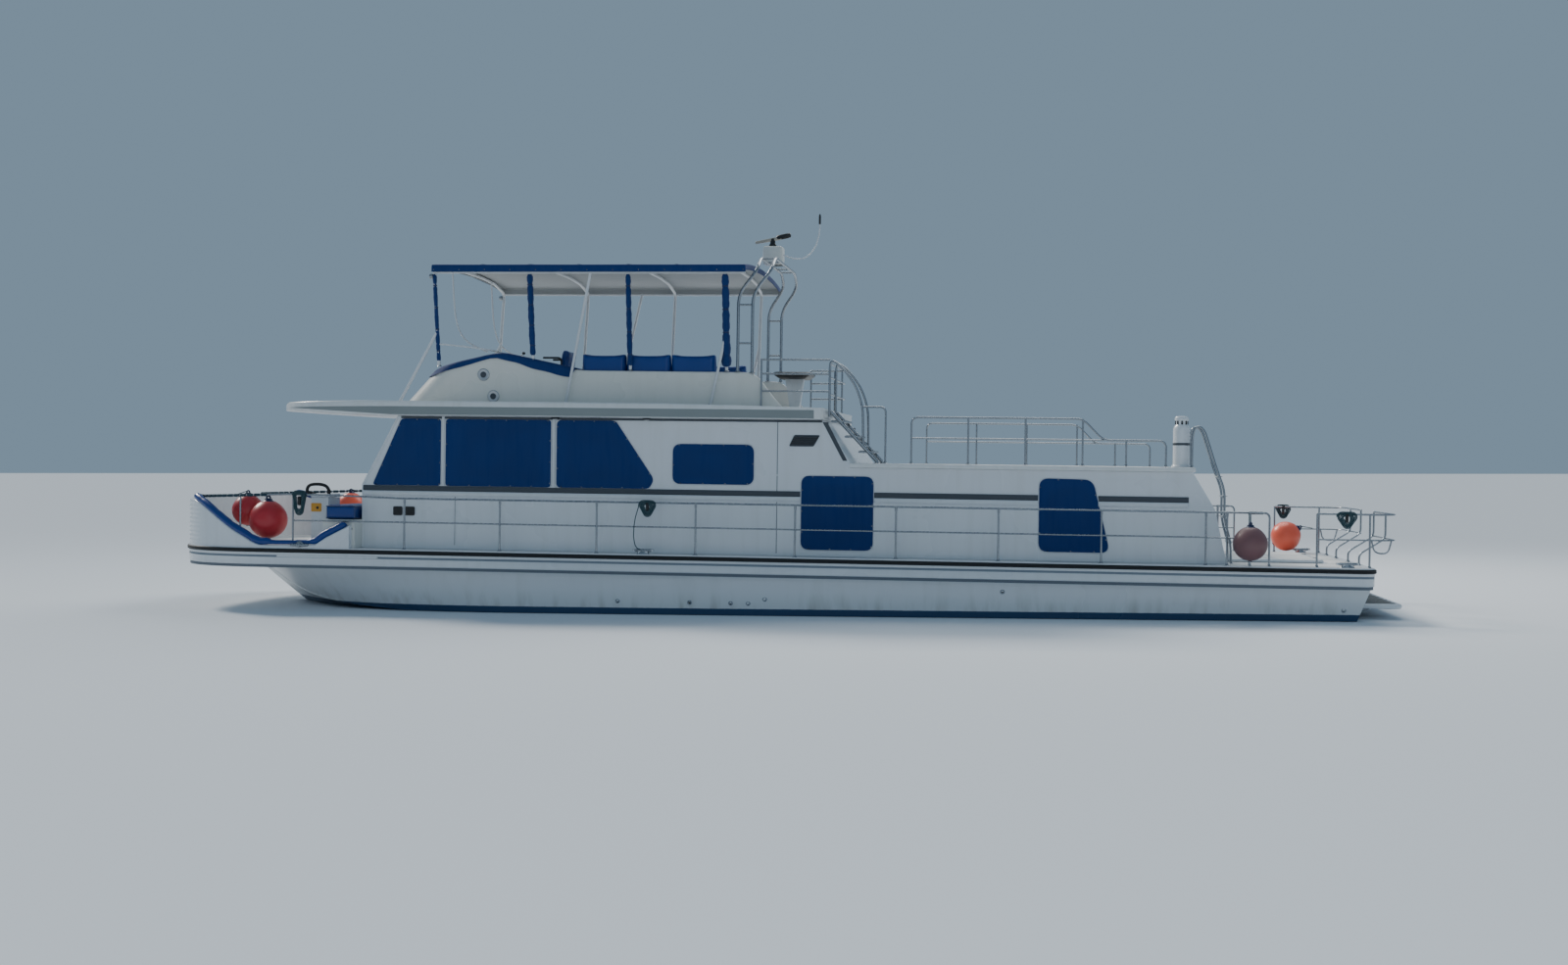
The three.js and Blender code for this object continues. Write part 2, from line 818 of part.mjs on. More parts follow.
add(
  "helm_console",
  side(
    [
      [4090, ROOF + GAP],
      [4090, 3060],
      [3600, 3230],
      [3400, 3200],
      [3290, 2960],
      [3420, ROOF + GAP],
    ],
    -850,
    850,
  ),
  "gelcoat",
);

// Steering wheel: rim, hub and spokes, turned to face the helm
const WHEEL = { x: 3345, y: 400, z: 3080, off: 110, r: 190, tilt: Math.atan2(110, 240) };
const wheelBody = join(
  solid(new THREE.TorusGeometry(WHEEL.r, 14, 8, 24)),
  solid(new THREE.CylinderGeometry(38, 38, 50, 12).rotateX(PI / 2)),
  ...[90, 210, 330].map((deg) => {
    const t = THREE.MathUtils.degToRad(deg);
    return bar(v3(0, 0, 0), v3(WHEEL.r * cos(t), WHEEL.r * sin(t), 0), 9);
  }),
  solid(new THREE.CylinderGeometry(20, 20, 98, 10).rotateX(PI / 2).translate(0, 0, -52)),
);
const wheelMatrix = new THREE.Matrix4()
  .makeTranslation(
    WHEEL.x - WHEEL.off * cos(WHEEL.tilt),
    WHEEL.y,
    WHEEL.z + WHEEL.off * sin(WHEEL.tilt),
  )
  .multiply(new THREE.Matrix4().makeRotationY(-PI / 2 + WHEEL.tilt));
add("steering_wheel", solid(geometryOf(wheelBody).applyMatrix4(wheelMatrix)), "black_metal");

const SEAT = { x: 2830, y: 400 };
add(
  "helm_seat",
  join(
    bar(v3(SEAT.x, SEAT.y, ROOF + GAP), v3(SEAT.x, SEAT.y, 3010), 55, 12),
    bar(v3(SEAT.x, SEAT.y, ROOF + GAP), v3(SEAT.x, SEAT.y, ROOF + 25), 150, 12),
    block(SEAT.x - 210, SEAT.x + 210, SEAT.y - 250, SEAT.y + 250, 3000, 3110),
    side(
      [
        [SEAT.x - 130, 3100],
        [SEAT.x - 210, 3100],
        [SEAT.x - 250, 3390],
        [SEAT.x - 170, 3390],
      ],
      SEAT.y - 240,
      SEAT.y + 240,
    ),
  ),
  "vinyl",
);
pair(
  "lounge_seat",
  across(
    [
      [660, ROOF + GAP],
      [1335, ROOF + GAP],
      [1335, 3300],
      [1210, 3300],
      [1180, 2990],
      [660, 2990],
    ],
    480,
    2240,
  ),
  "vinyl",
);

// Small table at the back of the flybridge, its top tapering down to a foot
const TABLE = { aft: -620, fore: -120, half: 350, top: 3120, low: 3030 };
add(
  "flybridge_table",
  join(
    side(
      [
        [TABLE.fore, TABLE.top],
        [TABLE.fore, TABLE.top - 30],
        [TABLE.fore - 90, TABLE.low],
        [TABLE.aft + 90, TABLE.low],
        [TABLE.aft, TABLE.top - 30],
        [TABLE.aft, TABLE.top],
      ],
      -TABLE.half,
      TABLE.half,
    ),
    side(
      [
        [-250, TABLE.low + 1],
        [-320, ROOF + GAP],
        [-440, ROOF + GAP],
        [-500, TABLE.low + 1],
      ],
      -60,
      60,
    ),
  ),
  "gelcoat",
);

// Sun canopy over the flybridge: hoops, side rails and stays, and the cloth over them
const canopyZ = (y) => CANOPY.shoulder + CANOPY.crown * (1 - (y / CANOPY.half) ** 2);
const hoopZ = (y) => canopyZ(y) - CANOPY.thick - 3 - BIMINI_R;
const hoopY = 1612;
const hoopEdge = CANOPY.edge - 5;
const coamingTop = (x) => heightOn(COWL, x);
const legY = (z, x) => {
  const foot = coamingTop(x);
  const inner = COWL_SIDE - COWL_WALL / 2;
  return inner + ((hoopY - inner) * (z - foot)) / (hoopEdge - foot);
};
function hoop(x) {
  const half = [
    [x, COWL_SIDE - COWL_WALL / 2, coamingTop(x) + GAP + 8],
    [x, hoopY, hoopEdge],
    [x, 1100, hoopZ(1100)],
    [x, 500, hoopZ(500)],
  ];
  const other = half.map(([a, y, z]) => [a, -y, z]).reverse();
  return bent([...half, ...other], BIMINI_R, 60);
}
const STAYS = [
  // foot x, top x, top z
  [4700, 4130, 3560],
  [2420, 2070, hoopEdge],
  [530, 330, 3550],
];
function stay([footX, topX, topZ], s) {
  const topY = topZ >= hoopEdge ? hoopY - 16 : legY(topZ, topX);
  const foot = v3(footX, s * 1450, ROOF + GAP);
  const pad = bar(foot, v3(footX, s * 1450, ROOF + 18), 28, 8);
  return join(pad, bar(v3(footX, s * 1450, ROOF + 10), v3(topX, s * topY, topZ), 12));
}
add(
  "bimini_frame",
  join(
    BIMINI_POSTS.map(hoop),
    [-1, 1].map((s) => {
      const [y, z] = [s * (hoopY - 16), hoopEdge - 14];
      return bar(v3(CANOPY.front - 5, y, z), v3(CANOPY.aft + 5, y, z), 14);
    }),
    [-1, 1].flatMap((s) => STAYS.map((row) => stay(row, s))),
  ),
  "white_tube",
);
const canopyArc = (drop, half) =>
  Array.from({ length: 13 }, (_, i) => {
    const y = half - (2 * half * i) / 12;
    return [y, canopyZ(y) - drop];
  });
add(
  "bimini_canopy",
  across(
    [
      [CANOPY.half, CANOPY.edge],
      ...canopyArc(0, CANOPY.half),
      [-CANOPY.half, CANOPY.edge],
      [-CANOPY.half + CANOPY.thick, CANOPY.edge],
      ...canopyArc(CANOPY.thick, CANOPY.half - CANOPY.thick).reverse(),
      [CANOPY.half - CANOPY.thick, CANOPY.edge],
    ],
    CANOPY.aft,
    CANOPY.front,
  ),
  "canvas",
);

// Ladder-like tube arch with the lamp box and aerial on top
const ARCH = { fore: 190, pitch: 185, lean: 230, foot: 1370, top: 4560, r: 20 };
function archHoop(x) {
  const half = [
    [x, ARCH.foot, coamingTop(x) + GAP + 8],
    [x, ARCH.foot, 4060],
    [x - ARCH.lean, 1290, 4380],
    [x - ARCH.lean, 1000, ARCH.top],
  ];
  const other = half.map(([a, y, z]) => [a, -y, z]).reverse();
  return bent([...half, ...other], ARCH.r, 150);
}
const archTop = ARCH.fore - ARCH.lean;
const archRungs = [3250, 3450, 3650, 3850, 4030].flatMap((z) =>
  [-1, 1].map((s) =>
    bar(v3(ARCH.fore, s * ARCH.foot, z), v3(ARCH.fore - ARCH.pitch, s * ARCH.foot, z), 12),
  ),
);
const archTies = [-900, -450, 0, 450, 900].map((y) =>
  bar(v3(archTop, y, ARCH.top), v3(archTop - ARCH.pitch, y, ARCH.top), 12),
);
const lampBox = block(-290, -20, -120, 120, ARCH.top, 4820);
const lampBar = side(
  [
    [190, 4850],
    [190, 4890],
    [-300, 4990],
    [-300, 4950],
  ],
  -25,
  25,
);
const lampStem = block(-110, -70, -20, 20, 4800, 4930);
const aerial = bent(
  [
    [-200, 60, 4700],
    [-360, 60, 4640],
    [-520, 60, 4660],
    [-640, 60, 4800],
    [-690, 60, 5000],
    [-690, 60, 5250],
  ],
  9,
  90,
);
add(
  "radar_arch",
  join(
    archHoop(ARCH.fore),
    archHoop(ARCH.fore - ARCH.pitch),
    archRungs,
    archTies,
    lampBox,
    lampBar,
    lampStem,
    aerial,
  ),
  "stainless",
);

// Rail across the back of the flybridge and down its starboard side
const FLY_RAIL = [3220, 3040, 2820];
const flyBack = ROOF_AFT + 60;
add(
  "flybridge_rail",
  join(
    FLY_RAIL.map((z) =>
      bent(
        [
          [flyBack, 560, z],
          [flyBack, -1450, z],
          [-420, -1450, z],
        ],
        RAIL_R,
        120,
      ),
    ),
    [
      [flyBack, 560],
      [flyBack, -220],
      [flyBack, -1000],
      [-760, -1450],
      [-420, -1450],
    ].map(([x, y]) => bar(v3(x, y, ROOF + GAP), v3(x, y, FLY_RAIL[0]), RAIL_R)),
  ),
  "stainless",
);

// Stair from the sundeck to the flybridge, with curved handrails
const STAIR = { outer: 1450, inner: 700, foot: -1760, head: -1020, top: 2570, rail: -1005 };
const stairSide = (y) => [
  bar(v3(STAIR.foot, y, AFT_ROOF + 22), v3(STAIR.head, y, STAIR.top), 24, 6),
  bent(
    [
      [-1600, y, AFT_ROOF + GAP],
      [-1600, y, 2500],
      [-1420, y, 2960],
      [-1180, y, 3190],
      [STAIR.rail, y, 3220],
      [STAIR.rail, y, 2500],
    ],
    RAIL_R + 3,
    90,
  ),
];
const treads = [0, 1, 2].map((i) => {
  const share = (i + 0.75) / 3.4;
  const x = STAIR.foot + (STAIR.head - STAIR.foot) * share;
  const z = AFT_ROOF + (STAIR.top - AFT_ROOF) * share;
  return block(x - 90, x + 110, STAIR.inner, STAIR.outer, z - 14, z + 14);
});
const tieBar = bar(v3(-1600, STAIR.inner, 2060), v3(-1600, STAIR.outer, 2060), 14);
const sideRail = FLY_RAIL.map((z) =>
  bar(v3(STAIR.rail, STAIR.outer, z), v3(-130, STAIR.outer, z), RAIL_R),
);
const forePost = bar(v3(-130, STAIR.outer, ROOF + GAP), v3(-130, STAIR.outer, 3220), RAIL_R);
const stairHead = bar(
  v3(STAIR.rail, STAIR.inner - 14, 2560),
  v3(STAIR.rail, STAIR.outer + 14, 2560),
  16,
);
add(
  "roof_stair",
  join(
    stairSide(STAIR.outer),
    stairSide(STAIR.inner),
    treads,
    tieBar,
    stairHead,
    sideRail,
    forePost,
  ),
  "stainless",
);

// Sundeck rails: high along the middle, lower towards the stern
const SUN_Y = 1650;
const SUN_POSTS = [-2060, -2765, -3470, -4170, -4700, -5180];
pair(
  "sundeck_rail",
  join(
    bent(
      [
        [-2060, SUN_Y, AFT_ROOF + GAP],
        [-2060, SUN_Y, 2500],
        [-4170, SUN_Y, 2500],
        [-4420, SUN_Y, 2240],
        [-5180, SUN_Y, 2240],
        [-5180, SUN_Y, AFT_ROOF + GAP],
      ],
      RAIL_R,
      90,
    ),
    bar(v3(-2060, SUN_Y, 2240), v3(-4430, SUN_Y, 2240), 10),
    SUN_POSTS.slice(1, -1).map((x) =>
      bar(v3(x, SUN_Y, AFT_ROOF + GAP), v3(x, SUN_Y, x < -4200 ? 2240 : 2500), RAIL_R),
    ),
  ),
  "stainless",
);
add(
  "sundeck_vent",
  turned(
    [
      [0, AFT_ROOF + GAP],
      [120, AFT_ROOF + GAP],
      [120, AFT_ROOF + 20],
      [100, AFT_ROOF + 40],
      [100, 2430],
      [70, 2450],
      [70, 2490],
      [110, 2500],
      [95, 2545],
      [0, 2552],
    ],
    -5330,
    1430,
  ),
  "gelcoat",
);

// Ladder on the back of the aft cabin
const LADDER = { outer: 1560, inner: 1180 };
const ladderRail = (y) =>
  bent(
    [
      [-5500, y, AFT_ROOF + GAP],
      [-5500, y, 2300],
      [-5540, y, 2430],
      [-5640, y, 2400],
      [-5800, y, 1900],
      [-5900, y, 1640],
      [-5900, y, 1300],
      [-5980, y, 1000],
      [-5985, y, DECK + GAP],
    ],
    15,
    110,
  );
const ladderRungs = [
  // x, z
  [-5980, 1000],
  [-5902, 1310],
  [-5900, 1560],
  [-5838, 1800],
].map(([x, z]) => bar(v3(x, LADDER.inner, z), v3(x, LADDER.outer, z), 13));
add(
  "aft_ladder",
  join(ladderRail(LADDER.outer), ladderRail(LADDER.inner), ladderRungs),
  "stainless",
);

// Side rails from the bow to the boarding gap, and the rails round the stern
function sideRailBody() {
  const bowPart = [7540, 7450, 7300, 7100, 6850, 6550, 6200, 5830].map((x) => {
    const rise = max(0, min(1, (7600 - x) / 1700));
    return v3(x, deckHalfWidth(x, RAIL_INSET), 1365 + 60 * rise);
  });
  const straight = [
    [5100, 1415],
    [4380, 1392],
    [RAIL_END + 50, RAIL_TOP],
  ].map(([x, z]) => v3(x, railY, z));
  const endPost = [
    [RAIL_END + 12, RAIL_TOP - 12],
    [RAIL_END, RAIL_TOP - 60],
    [RAIL_END, DECK + GAP],
  ].map(([x, z]) => v3(x, railY, z));
  const top = tube([...bowPart, ...straight, ...endPost], RAIL_R);
  const mid = tube([v3(5830, railY, RAIL_MID + 10), v3(RAIL_END, railY, RAIL_MID)], 10);
  const posts = SIDE_POSTS.map((x) =>
    bar(v3(x, railY, DECK + GAP), v3(x, railY, RAIL_TOP), RAIL_R),
  );
  const onBulwark = BULWARK_POSTS.map((x) => {
    const y = deckHalfWidth(x, RAIL_INSET);
    return bar(v3(x, y, heightOn(BULWARK_TOP, x) + 12), v3(x, y, 1415), RAIL_R);
  });
  const bowPost = bar(
    v3(7540, deckHalfWidth(7540, RAIL_INSET), BULWARK.high + GAP),
    v3(7540, deckHalfWidth(7540, RAIL_INSET), 1366),
    RAIL_R,
    6,
  );
  return join(top, mid, posts, onBulwark, bowPost);
}
pair("side_rail", sideRailBody(), "stainless");

const STERN_RAIL = { fore: -6940, aft: -7860, inner: 480 };
function sternRailBody() {
  const bend = (z, r) =>
    bent(
      [
        [STERN_RAIL.fore, railY, z],
        [STERN_RAIL.aft, railY, z],
        [STERN_RAIL.aft, STERN_RAIL.inner, z],
      ],
      r,
      200,
    );
  const foot = (x, y) => bar(v3(x, y, DECK + GAP), v3(x, y, RAIL_TOP), RAIL_R);
  const raked = (y) =>
    bent(
      [
        [STERN + 70, y, DECK + GAP],
        [STERN + 70, y, 880],
        [STERN_RAIL.aft, y, RAIL_MID],
        [STERN_RAIL.aft, y, RAIL_TOP],
      ],
      RAIL_R,
      60,
    );
  const loop = bent(
    [
      [STERN + 50, railY, RAIL_MID],
      [STERN + 20, railY, 930],
      [STERN - 140, railY, 920],
      [STERN - 180, railY, RAIL_MID],
    ],
    10,
    70,
  );
  return join(
    loop,
    bend(RAIL_TOP, RAIL_R),
    bend(RAIL_MID, 10),
    foot(STERN_RAIL.fore, railY),
    foot(STERN + 70, railY),
    raked(STERN_RAIL.inner),
    raked(1300),
  );
}
pair("stern_rail", sternRailBody(), "stainless");

// Engines on their bed, propellers on their shafts, rudders, and the hatch over the bay
const engine = (s) =>
  block(-7020, -6180, min(s * 330, s * 930), max(s * 330, s * 930), BAY_FLOOR + 60, 620);
add(
  "engines",
  join(
    engine(1),
    engine(-1),
    block(-6950, -6850, -1000, 1000, BAY_FLOOR + GAP, BAY_FLOOR + 80),
    block(-6350, -6250, -1000, 1000, BAY_FLOOR + GAP, BAY_FLOOR + 80),
  ),
  "engine",
);

// One propeller with its shaft: four pitched blades on a hub
function propeller() {
  const hub = bar(onShaft(-90), onShaft(90), 48, 12);
  const cone = bar(onShaft(-130), onShaft(-85), 26, 12);
  const shaft = bar(onShaft(80), onShaft(1080), SHAFT_R, 10);
  const axis = onShaft(1).sub(onShaft(0)).normalize();
  const toShaft = new THREE.Matrix4().makeRotationFromQuaternion(
    new THREE.Quaternion().setFromUnitVectors(v3(0, 0, 1), axis),
  );
  const centre = onShaft(0);
  const blades = [0, 1, 2, 3].map((i) => {
    const blade = outline([
      [-30, 30],
      [-75, 110],
      [-85, 180],
      [-45, PROP.r - 12],
      [0, PROP.r],
      [45, PROP.r - 12],
      [85, 180],
      [75, 110],
      [30, 30],
    ]);
    const g = new THREE.ExtrudeGeometry(blade, { depth: 12, bevelEnabled: false });
    g.translate(0, 0, -6).rotateY(THREE.MathUtils.degToRad(32)).rotateZ((i * PI) / 2);
    return solid(g.applyMatrix4(toShaft).translate(...centre.toArray()));
  });
  return join(hub, cone, shaft, blades);
}
pair("propeller", propeller(), "bronze");

const hullFloor = (x, y) => {
  const [, , chineHalf, chine, keel] = STATIONS[0];
  return afloat(x, keel + ((chine - keel) * y) / chineHalf);
};
const rudderTop = hullFloor(RUDDER.x, RUDDER.y) - 60;
pair(
  "rudder",
  join(
    side(
      [
        [RUDDER.x + 90, rudderTop],
        [RUDDER.x + 70, rudderTop - 470],
        [RUDDER.x - 190, rudderTop - 470],
        [RUDDER.x - 230, rudderTop],
      ],
      RUDDER.y - 14,
      RUDDER.y + 14,
    ),
    bar(v3(RUDDER.x, RUDDER.y, rudderTop - 100), v3(RUDDER.x, RUDDER.y, rudderTop + 90), 18, 12),
  ),
  "bronze",
);
add(
  "engine_hatch",
  block(HATCH.aft - 20, HATCH.fore + 20, -HATCH.half - 20, HATCH.half + 20, DECK + 5, DECK + 45),
  "gelcoat",
);

// Round fenders: three hang from the rails on short lines, one lies on the starboard side deck
function fender(centre, r, neck) {
  const profile = Array.from({ length: 11 }, (_, i) => {
    const t = -PI / 2 + (PI * i) / 10;
    return [i % 10 === 0 ? 0 : r * cos(t), centre.z + r * sin(t)];
  });
  const eye = (reach) => centre.clone().addScaledVector(neck, r * reach);
  return join(turned(profile, centre.x, centre.y), bar(eye(0.9), eye(1.22), r * 0.2, 8));
}
const HUNG = [
  // name, centre x, y, z, radius, y of the line's upper end, height of the rail's underside
  ["bow_fender_near", 6295, 1735, 1100, 240, 1990, 1405],
  ["bow_fender_fore", 6700, 1600, 1215, 205, 1930, 1390],
  ["aft_fender_port", -6150, 2290, 1035, 205, 2062, 1390],
];
for (const [name, x, y, z, r, railSide, rail] of HUNG) {
  const line = bar(v3(x, y, z + r), v3(x, railSide, rail), 7);
  add(name, join(fender(v3(x, y, z), r, v3(0, 0, 1)), line), "buoy");
}
const LYING = { x: -7070, y: -1790, r: 205 };
add(
  "aft_fender_starboard",
  fender(v3(LYING.x, LYING.y, DECK + GAP + LYING.r), LYING.r, v3(-0.87, 0, 0.5)),
  "buoy",
);

// Dock lines: hanks tied to the outside of the rails, one with its tail down to a cleat
const HANK = { half: 93, near: 14, far: 46 };
const HANKS = [
  // name, x, side, height of its top, straight length between its round ends
  ["dock_line_bow", 5740, 1, 1475, 180],
  ["dock_line_middle", 1200, 1, 1420, 50],
  ["dock_line_stern", -7280, 1, 1415, 90],
  ["dock_line_starboard", -7060, -1, 1415, 50],
];
const LINE_R = 7;
const TAIL = [
  // x, y outside the rail, z, from the middle hank down to its cleat
  [1280, 30, 1330],
  [1312, 30, 1290],
  [1340, 30, 1200],
  [1356, 30, 1080],
  [1358, 30, 960],
  [1345, 30, 860],
  [1318, 28, 815],
  [1280, 26, 808],
];
function hankOutline(x, top, run) {
  const end = (middle, from) =>
    Array.from({ length: 11 }, (_, i) => {
      const t = from + (PI * i) / 10;
      return [x + HANK.half * cos(t), middle + HANK.half * sin(t)];
    });
  return [...end(top - HANK.half, 0), ...end(top - HANK.half - run, PI)];
}
for (const [name, x, s, top, run] of HANKS) {
  const hank = side(hankOutline(x, top, run), railY + HANK.near, railY + HANK.far);
  const tail = tube(rounded(TAIL.map(([tx, out, tz]) => v3(tx, railY + out, tz)), 30), LINE_R, 8);
  add(name, name === "dock_line_middle" ? join(hank, tail) : hank, "rope", s < 0);
}

const houseboat = new THREE.Group();
houseboat.add(boat);
export default houseboat;
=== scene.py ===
"""Cabin houseboat afloat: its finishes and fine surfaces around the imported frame, in metres.

Pieces are laid out level, with +X to the bow, +Y to port and the water at about zero, and then
turned by TRIM, because the boat floats slightly bow-up.
"""

import json
import math

import bmesh
import bpy
from mathutils import Matrix, Vector


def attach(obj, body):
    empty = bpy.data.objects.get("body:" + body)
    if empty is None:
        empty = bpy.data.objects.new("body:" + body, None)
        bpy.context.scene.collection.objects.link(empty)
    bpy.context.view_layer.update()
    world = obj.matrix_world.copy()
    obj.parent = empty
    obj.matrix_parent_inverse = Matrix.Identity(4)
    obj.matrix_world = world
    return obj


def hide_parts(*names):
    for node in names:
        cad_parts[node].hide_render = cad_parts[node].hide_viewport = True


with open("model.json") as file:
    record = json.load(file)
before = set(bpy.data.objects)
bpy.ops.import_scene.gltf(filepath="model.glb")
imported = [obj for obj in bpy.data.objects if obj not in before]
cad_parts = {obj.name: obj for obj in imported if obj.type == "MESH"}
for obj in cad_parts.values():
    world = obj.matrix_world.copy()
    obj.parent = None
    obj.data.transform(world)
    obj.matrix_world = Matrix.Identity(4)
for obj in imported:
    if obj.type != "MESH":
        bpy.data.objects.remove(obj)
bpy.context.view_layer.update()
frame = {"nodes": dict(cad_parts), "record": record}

TRIM = math.radians(0.76)
LEVEL = Matrix.Rotation(-TRIM, 4, "Y")
BOAT = "boat"
SIDES = ((1, "port"), (-1, "starboard"))

# Sizes of the level layout, the same as the frame's
HALF_BEAM = 2.135
STERN = -7.62
SHOULDER = 6.0
BOW_LENGTH = 1.7
BOW_FULLNESS = 3
STERN_CORNER = 0.16
DECK = 0.745
HULL_TOP = 0.49
RUB_LOW, RUB_HIGH = 0.684, 0.729
CABIN = 1.75
CABIN_FRONT = 5.015
SILL = 1.56
EAVE = 2.45
ROOF = 2.6
ROOF_AFT = -0.97
WINDSHIELD_TOP_X = 4.55
AFT_EAVE = 1.86
AFT_ROOF = 1.92
RAIL_TOP = 1.385
RAIL_MID = 1.08
RAIL_R = 0.0125
RAIL_Y = HALF_BEAM - 0.098
RAIL_END = -6.385


# A hair's clearance between faces that lie on each other
CLEAR = 0.0005
UP = Vector((0, 0, 1))


# Mesh making

def oblong(a0, b0, a1, b1):
    """The four corners of an upright rectangle between two opposite ones."""
    return [(a0, b0), (a0, b1), (a1, b1), (a1, b0)]


def ring_angles(count):
    return [2 * math.pi * i / count for i in range(count)]


def circle(centre, r, count):
    """A level circle of points."""
    return [Vector(centre) + Vector((r * math.cos(a), r * math.sin(a), 0)) for a in ring_angles(count)]


def at_y(rows, y):
    """The (x, z) rows as places at one distance off the middle."""
    return [(x, y, z) for x, z in rows]


def across(points):
    """The points' places on the boat's other side."""
    return [Vector((p[0], -p[1], *p[2:])) for p in points]


def on_side(points, side):
    """Places given for the port side, on the given side."""
    return [Vector(p) for p in points] if side > 0 else across(points)


def corner_arc(before, corner, after, radius, steps):
    """The bend that rounds a corner off, as points."""
    back, on = before - corner, after - corner
    a = corner + back.normalized() * min(radius, back.length * 0.48)
    b = corner + on.normalized() * min(radius, on.length * 0.48)
    shares = [i / steps for i in range(steps + 1)]
    return [a * (1 - t) ** 2 + corner * 2 * t * (1 - t) + b * t * t for t in shares]


def rounded(corners, radius, steps=6):
    """The corners as a route whose inner corners are rounded off."""
    corners = [Vector(c) for c in corners]
    threes = zip(corners, corners[1:], corners[2:])
    arcs = [p for three in threes for p in corner_arc(*three, radius, steps)]
    return [corners[0], *arcs, corners[-1]]


def rounded_outline(corners, radius, steps=5):
    """A closed outline whose corners are arcs of about the given radius."""
    corners = [Vector(c) for c in corners]
    threes = zip(corners[-1:] + corners, corners, corners[1:] + corners[:1])
    return [p for three in threes for p in corner_arc(*three, radius, steps)]


def inset(outline, distance):
    """The outline moved inwards by the distance, corner by corner."""
    outline = [Vector(p) for p in outline]
    centre = sum(outline, Vector((0, 0))) / len(outline)
    places = []
    for before, p, after in zip(outline[-1:] + outline, outline, outline[1:] + outline[:1]):
        along = after - before
        normal = Vector((along.y, -along.x)).normalized()
        if normal.dot(p - centre) > 0:
            normal = -normal
        places.append(p + normal * distance)
    return places


def loft(rings, caps=True, closed=False):
    """Rings of equal length joined by faces; the ends are capped, or closed onto each other."""
    count, last = len(rings[0]), (len(rings) - 1) * len(rings[0])
    points = [Vector(p) for ring in rings for p in ring]
    faces = []
    for r in range(len(rings) - 1):
        for i in range(count):
            a, b = r * count + i, r * count + (i + 1) % count
            faces.append((a, b, b + count, a + count))
    if closed:
        faces += [(last + i, last + (i + 1) % count, (i + 1) % count, i) for i in range(count)]
    elif caps:
        faces.append(tuple(range(count - 1, -1, -1)))
        faces.append(tuple(range(last, last + count)))
    return points, faces


def stepped(line, rows):
    """A level outline raised through rows of (inset, height)."""
    return loft([[(p[0], p[1], z) for p in inset(line, d)] for d, z in rows])


def tangents(route):
    """The direction along the route at each of its points."""
    ends = [route[0], *route, route[-1]]
    return [(ends[i + 2] - ends[i]).normalized() for i in range(len(route))]


def pipe(route, radius, sides=12):
    """A round tube along the route; radius is a number or one number for each point."""
    route = [Vector(p) for p in route]
    radii = radius if isinstance(radius, list) else [radius] * len(route)
    along = tangents(route)
    side = along[0].orthogonal().normalized()
    rings = []
    for p, t, r in zip(route, along, radii):
        side = (side - t * side.dot(t)).normalized()
        up = t.cross(side)
        rings.append([p + side * (r * math.cos(a)) + up * (r * math.sin(a)) for a in ring_angles(sides)])
    return loft(rings)


def bent(corners, radius, bend=0.12, sides=12):
    return pipe(rounded(corners, bend), radius, sides)


def loop(route, radius, normal, sides=8, wide=1.0):
    """A closed tube along a flat loop, wide times as wide across the loop's plane."""
    rings = []
    for before, p, after in zip(route[-1:] + route, route, route[1:] + route[:1]):
        out = (after - before).normalized().cross(normal).normalized()
        rings.append([p + out * (radius * math.cos(a)) + normal * (radius * wide * math.sin(a))
                      for a in ring_angles(sides)])
    return loft(rings, closed=True)


def band(route, section):
    """A section of (out, up) points swept round a level loop; out is to the loop's right."""
    rings = []
    for p, t in zip(route, tangents(route)):
        out = Vector((t.y, -t.x, 0)).normalized()
        rings.append([p + out * o + Vector((0, 0, u)) for o, u in section])
    return loft(rings, closed=True)


def block(low, high):
    (x0, y0, z0), (x1, y1, z1) = low, high
    points = [(x, y, z) for z in (z0, z1) for x, y in ((x0, y0), (x1, y0), (x1, y1), (x0, y1))]
    faces = [(3, 2, 1, 0), (4, 5, 6, 7), (0, 1, 5, 4), (1, 2, 6, 5), (2, 3, 7, 6), (3, 0, 4, 7)]
    return points, faces


def plate(outline, low, high, plane="XZ"):
    """A flat outline with a thickness: its two numbers are the plane's, low to high is across."""
    place = {
        "XZ": lambda a, b, c: (a, c, b),
        "XY": lambda a, b, c: (a, b, c),
        "YZ": lambda a, b, c: (c, a, b),
    }[plane]
    return loft([[place(a, b, c) for a, b in outline] for c in (low, high)])


def turned(profile, centre, axis=(0, 0, 1), sides=24):
    """A body of revolution: profile rows are (radius, distance along the axis)."""
    turn = UP.rotation_difference(Vector(axis).normalized()).to_matrix()
    centre = Vector(centre)
    return loft([[centre + turn @ Vector((r * math.cos(a), r * math.sin(a), h)) for a in ring_angles(sides)]
                 for r, h in profile])


def ball(centre, radius, rings=20, sides=32):
    angles = [math.pi * (i / rings - 0.5) for i in range(rings + 1)]
    profile = [(max(radius * math.cos(t), 0.0005), radius * math.sin(t)) for t in angles]
    return turned(profile, centre, sides=sides)


def moved(made, matrix):
    points, faces = made
    return [matrix @ Vector(p) for p in points], faces


def on_line(line, x):
    """Height of a broken line of (x, z) rows, with x falling, at x."""
    for (x0, z0), (x1, z1) in zip(line, line[1:]):
        if x0 >= x >= x1:
            return z0 + (z1 - z0) * (x0 - x) / (x0 - x1)
    return line[0][1] if x > line[0][0] else line[-1][1]


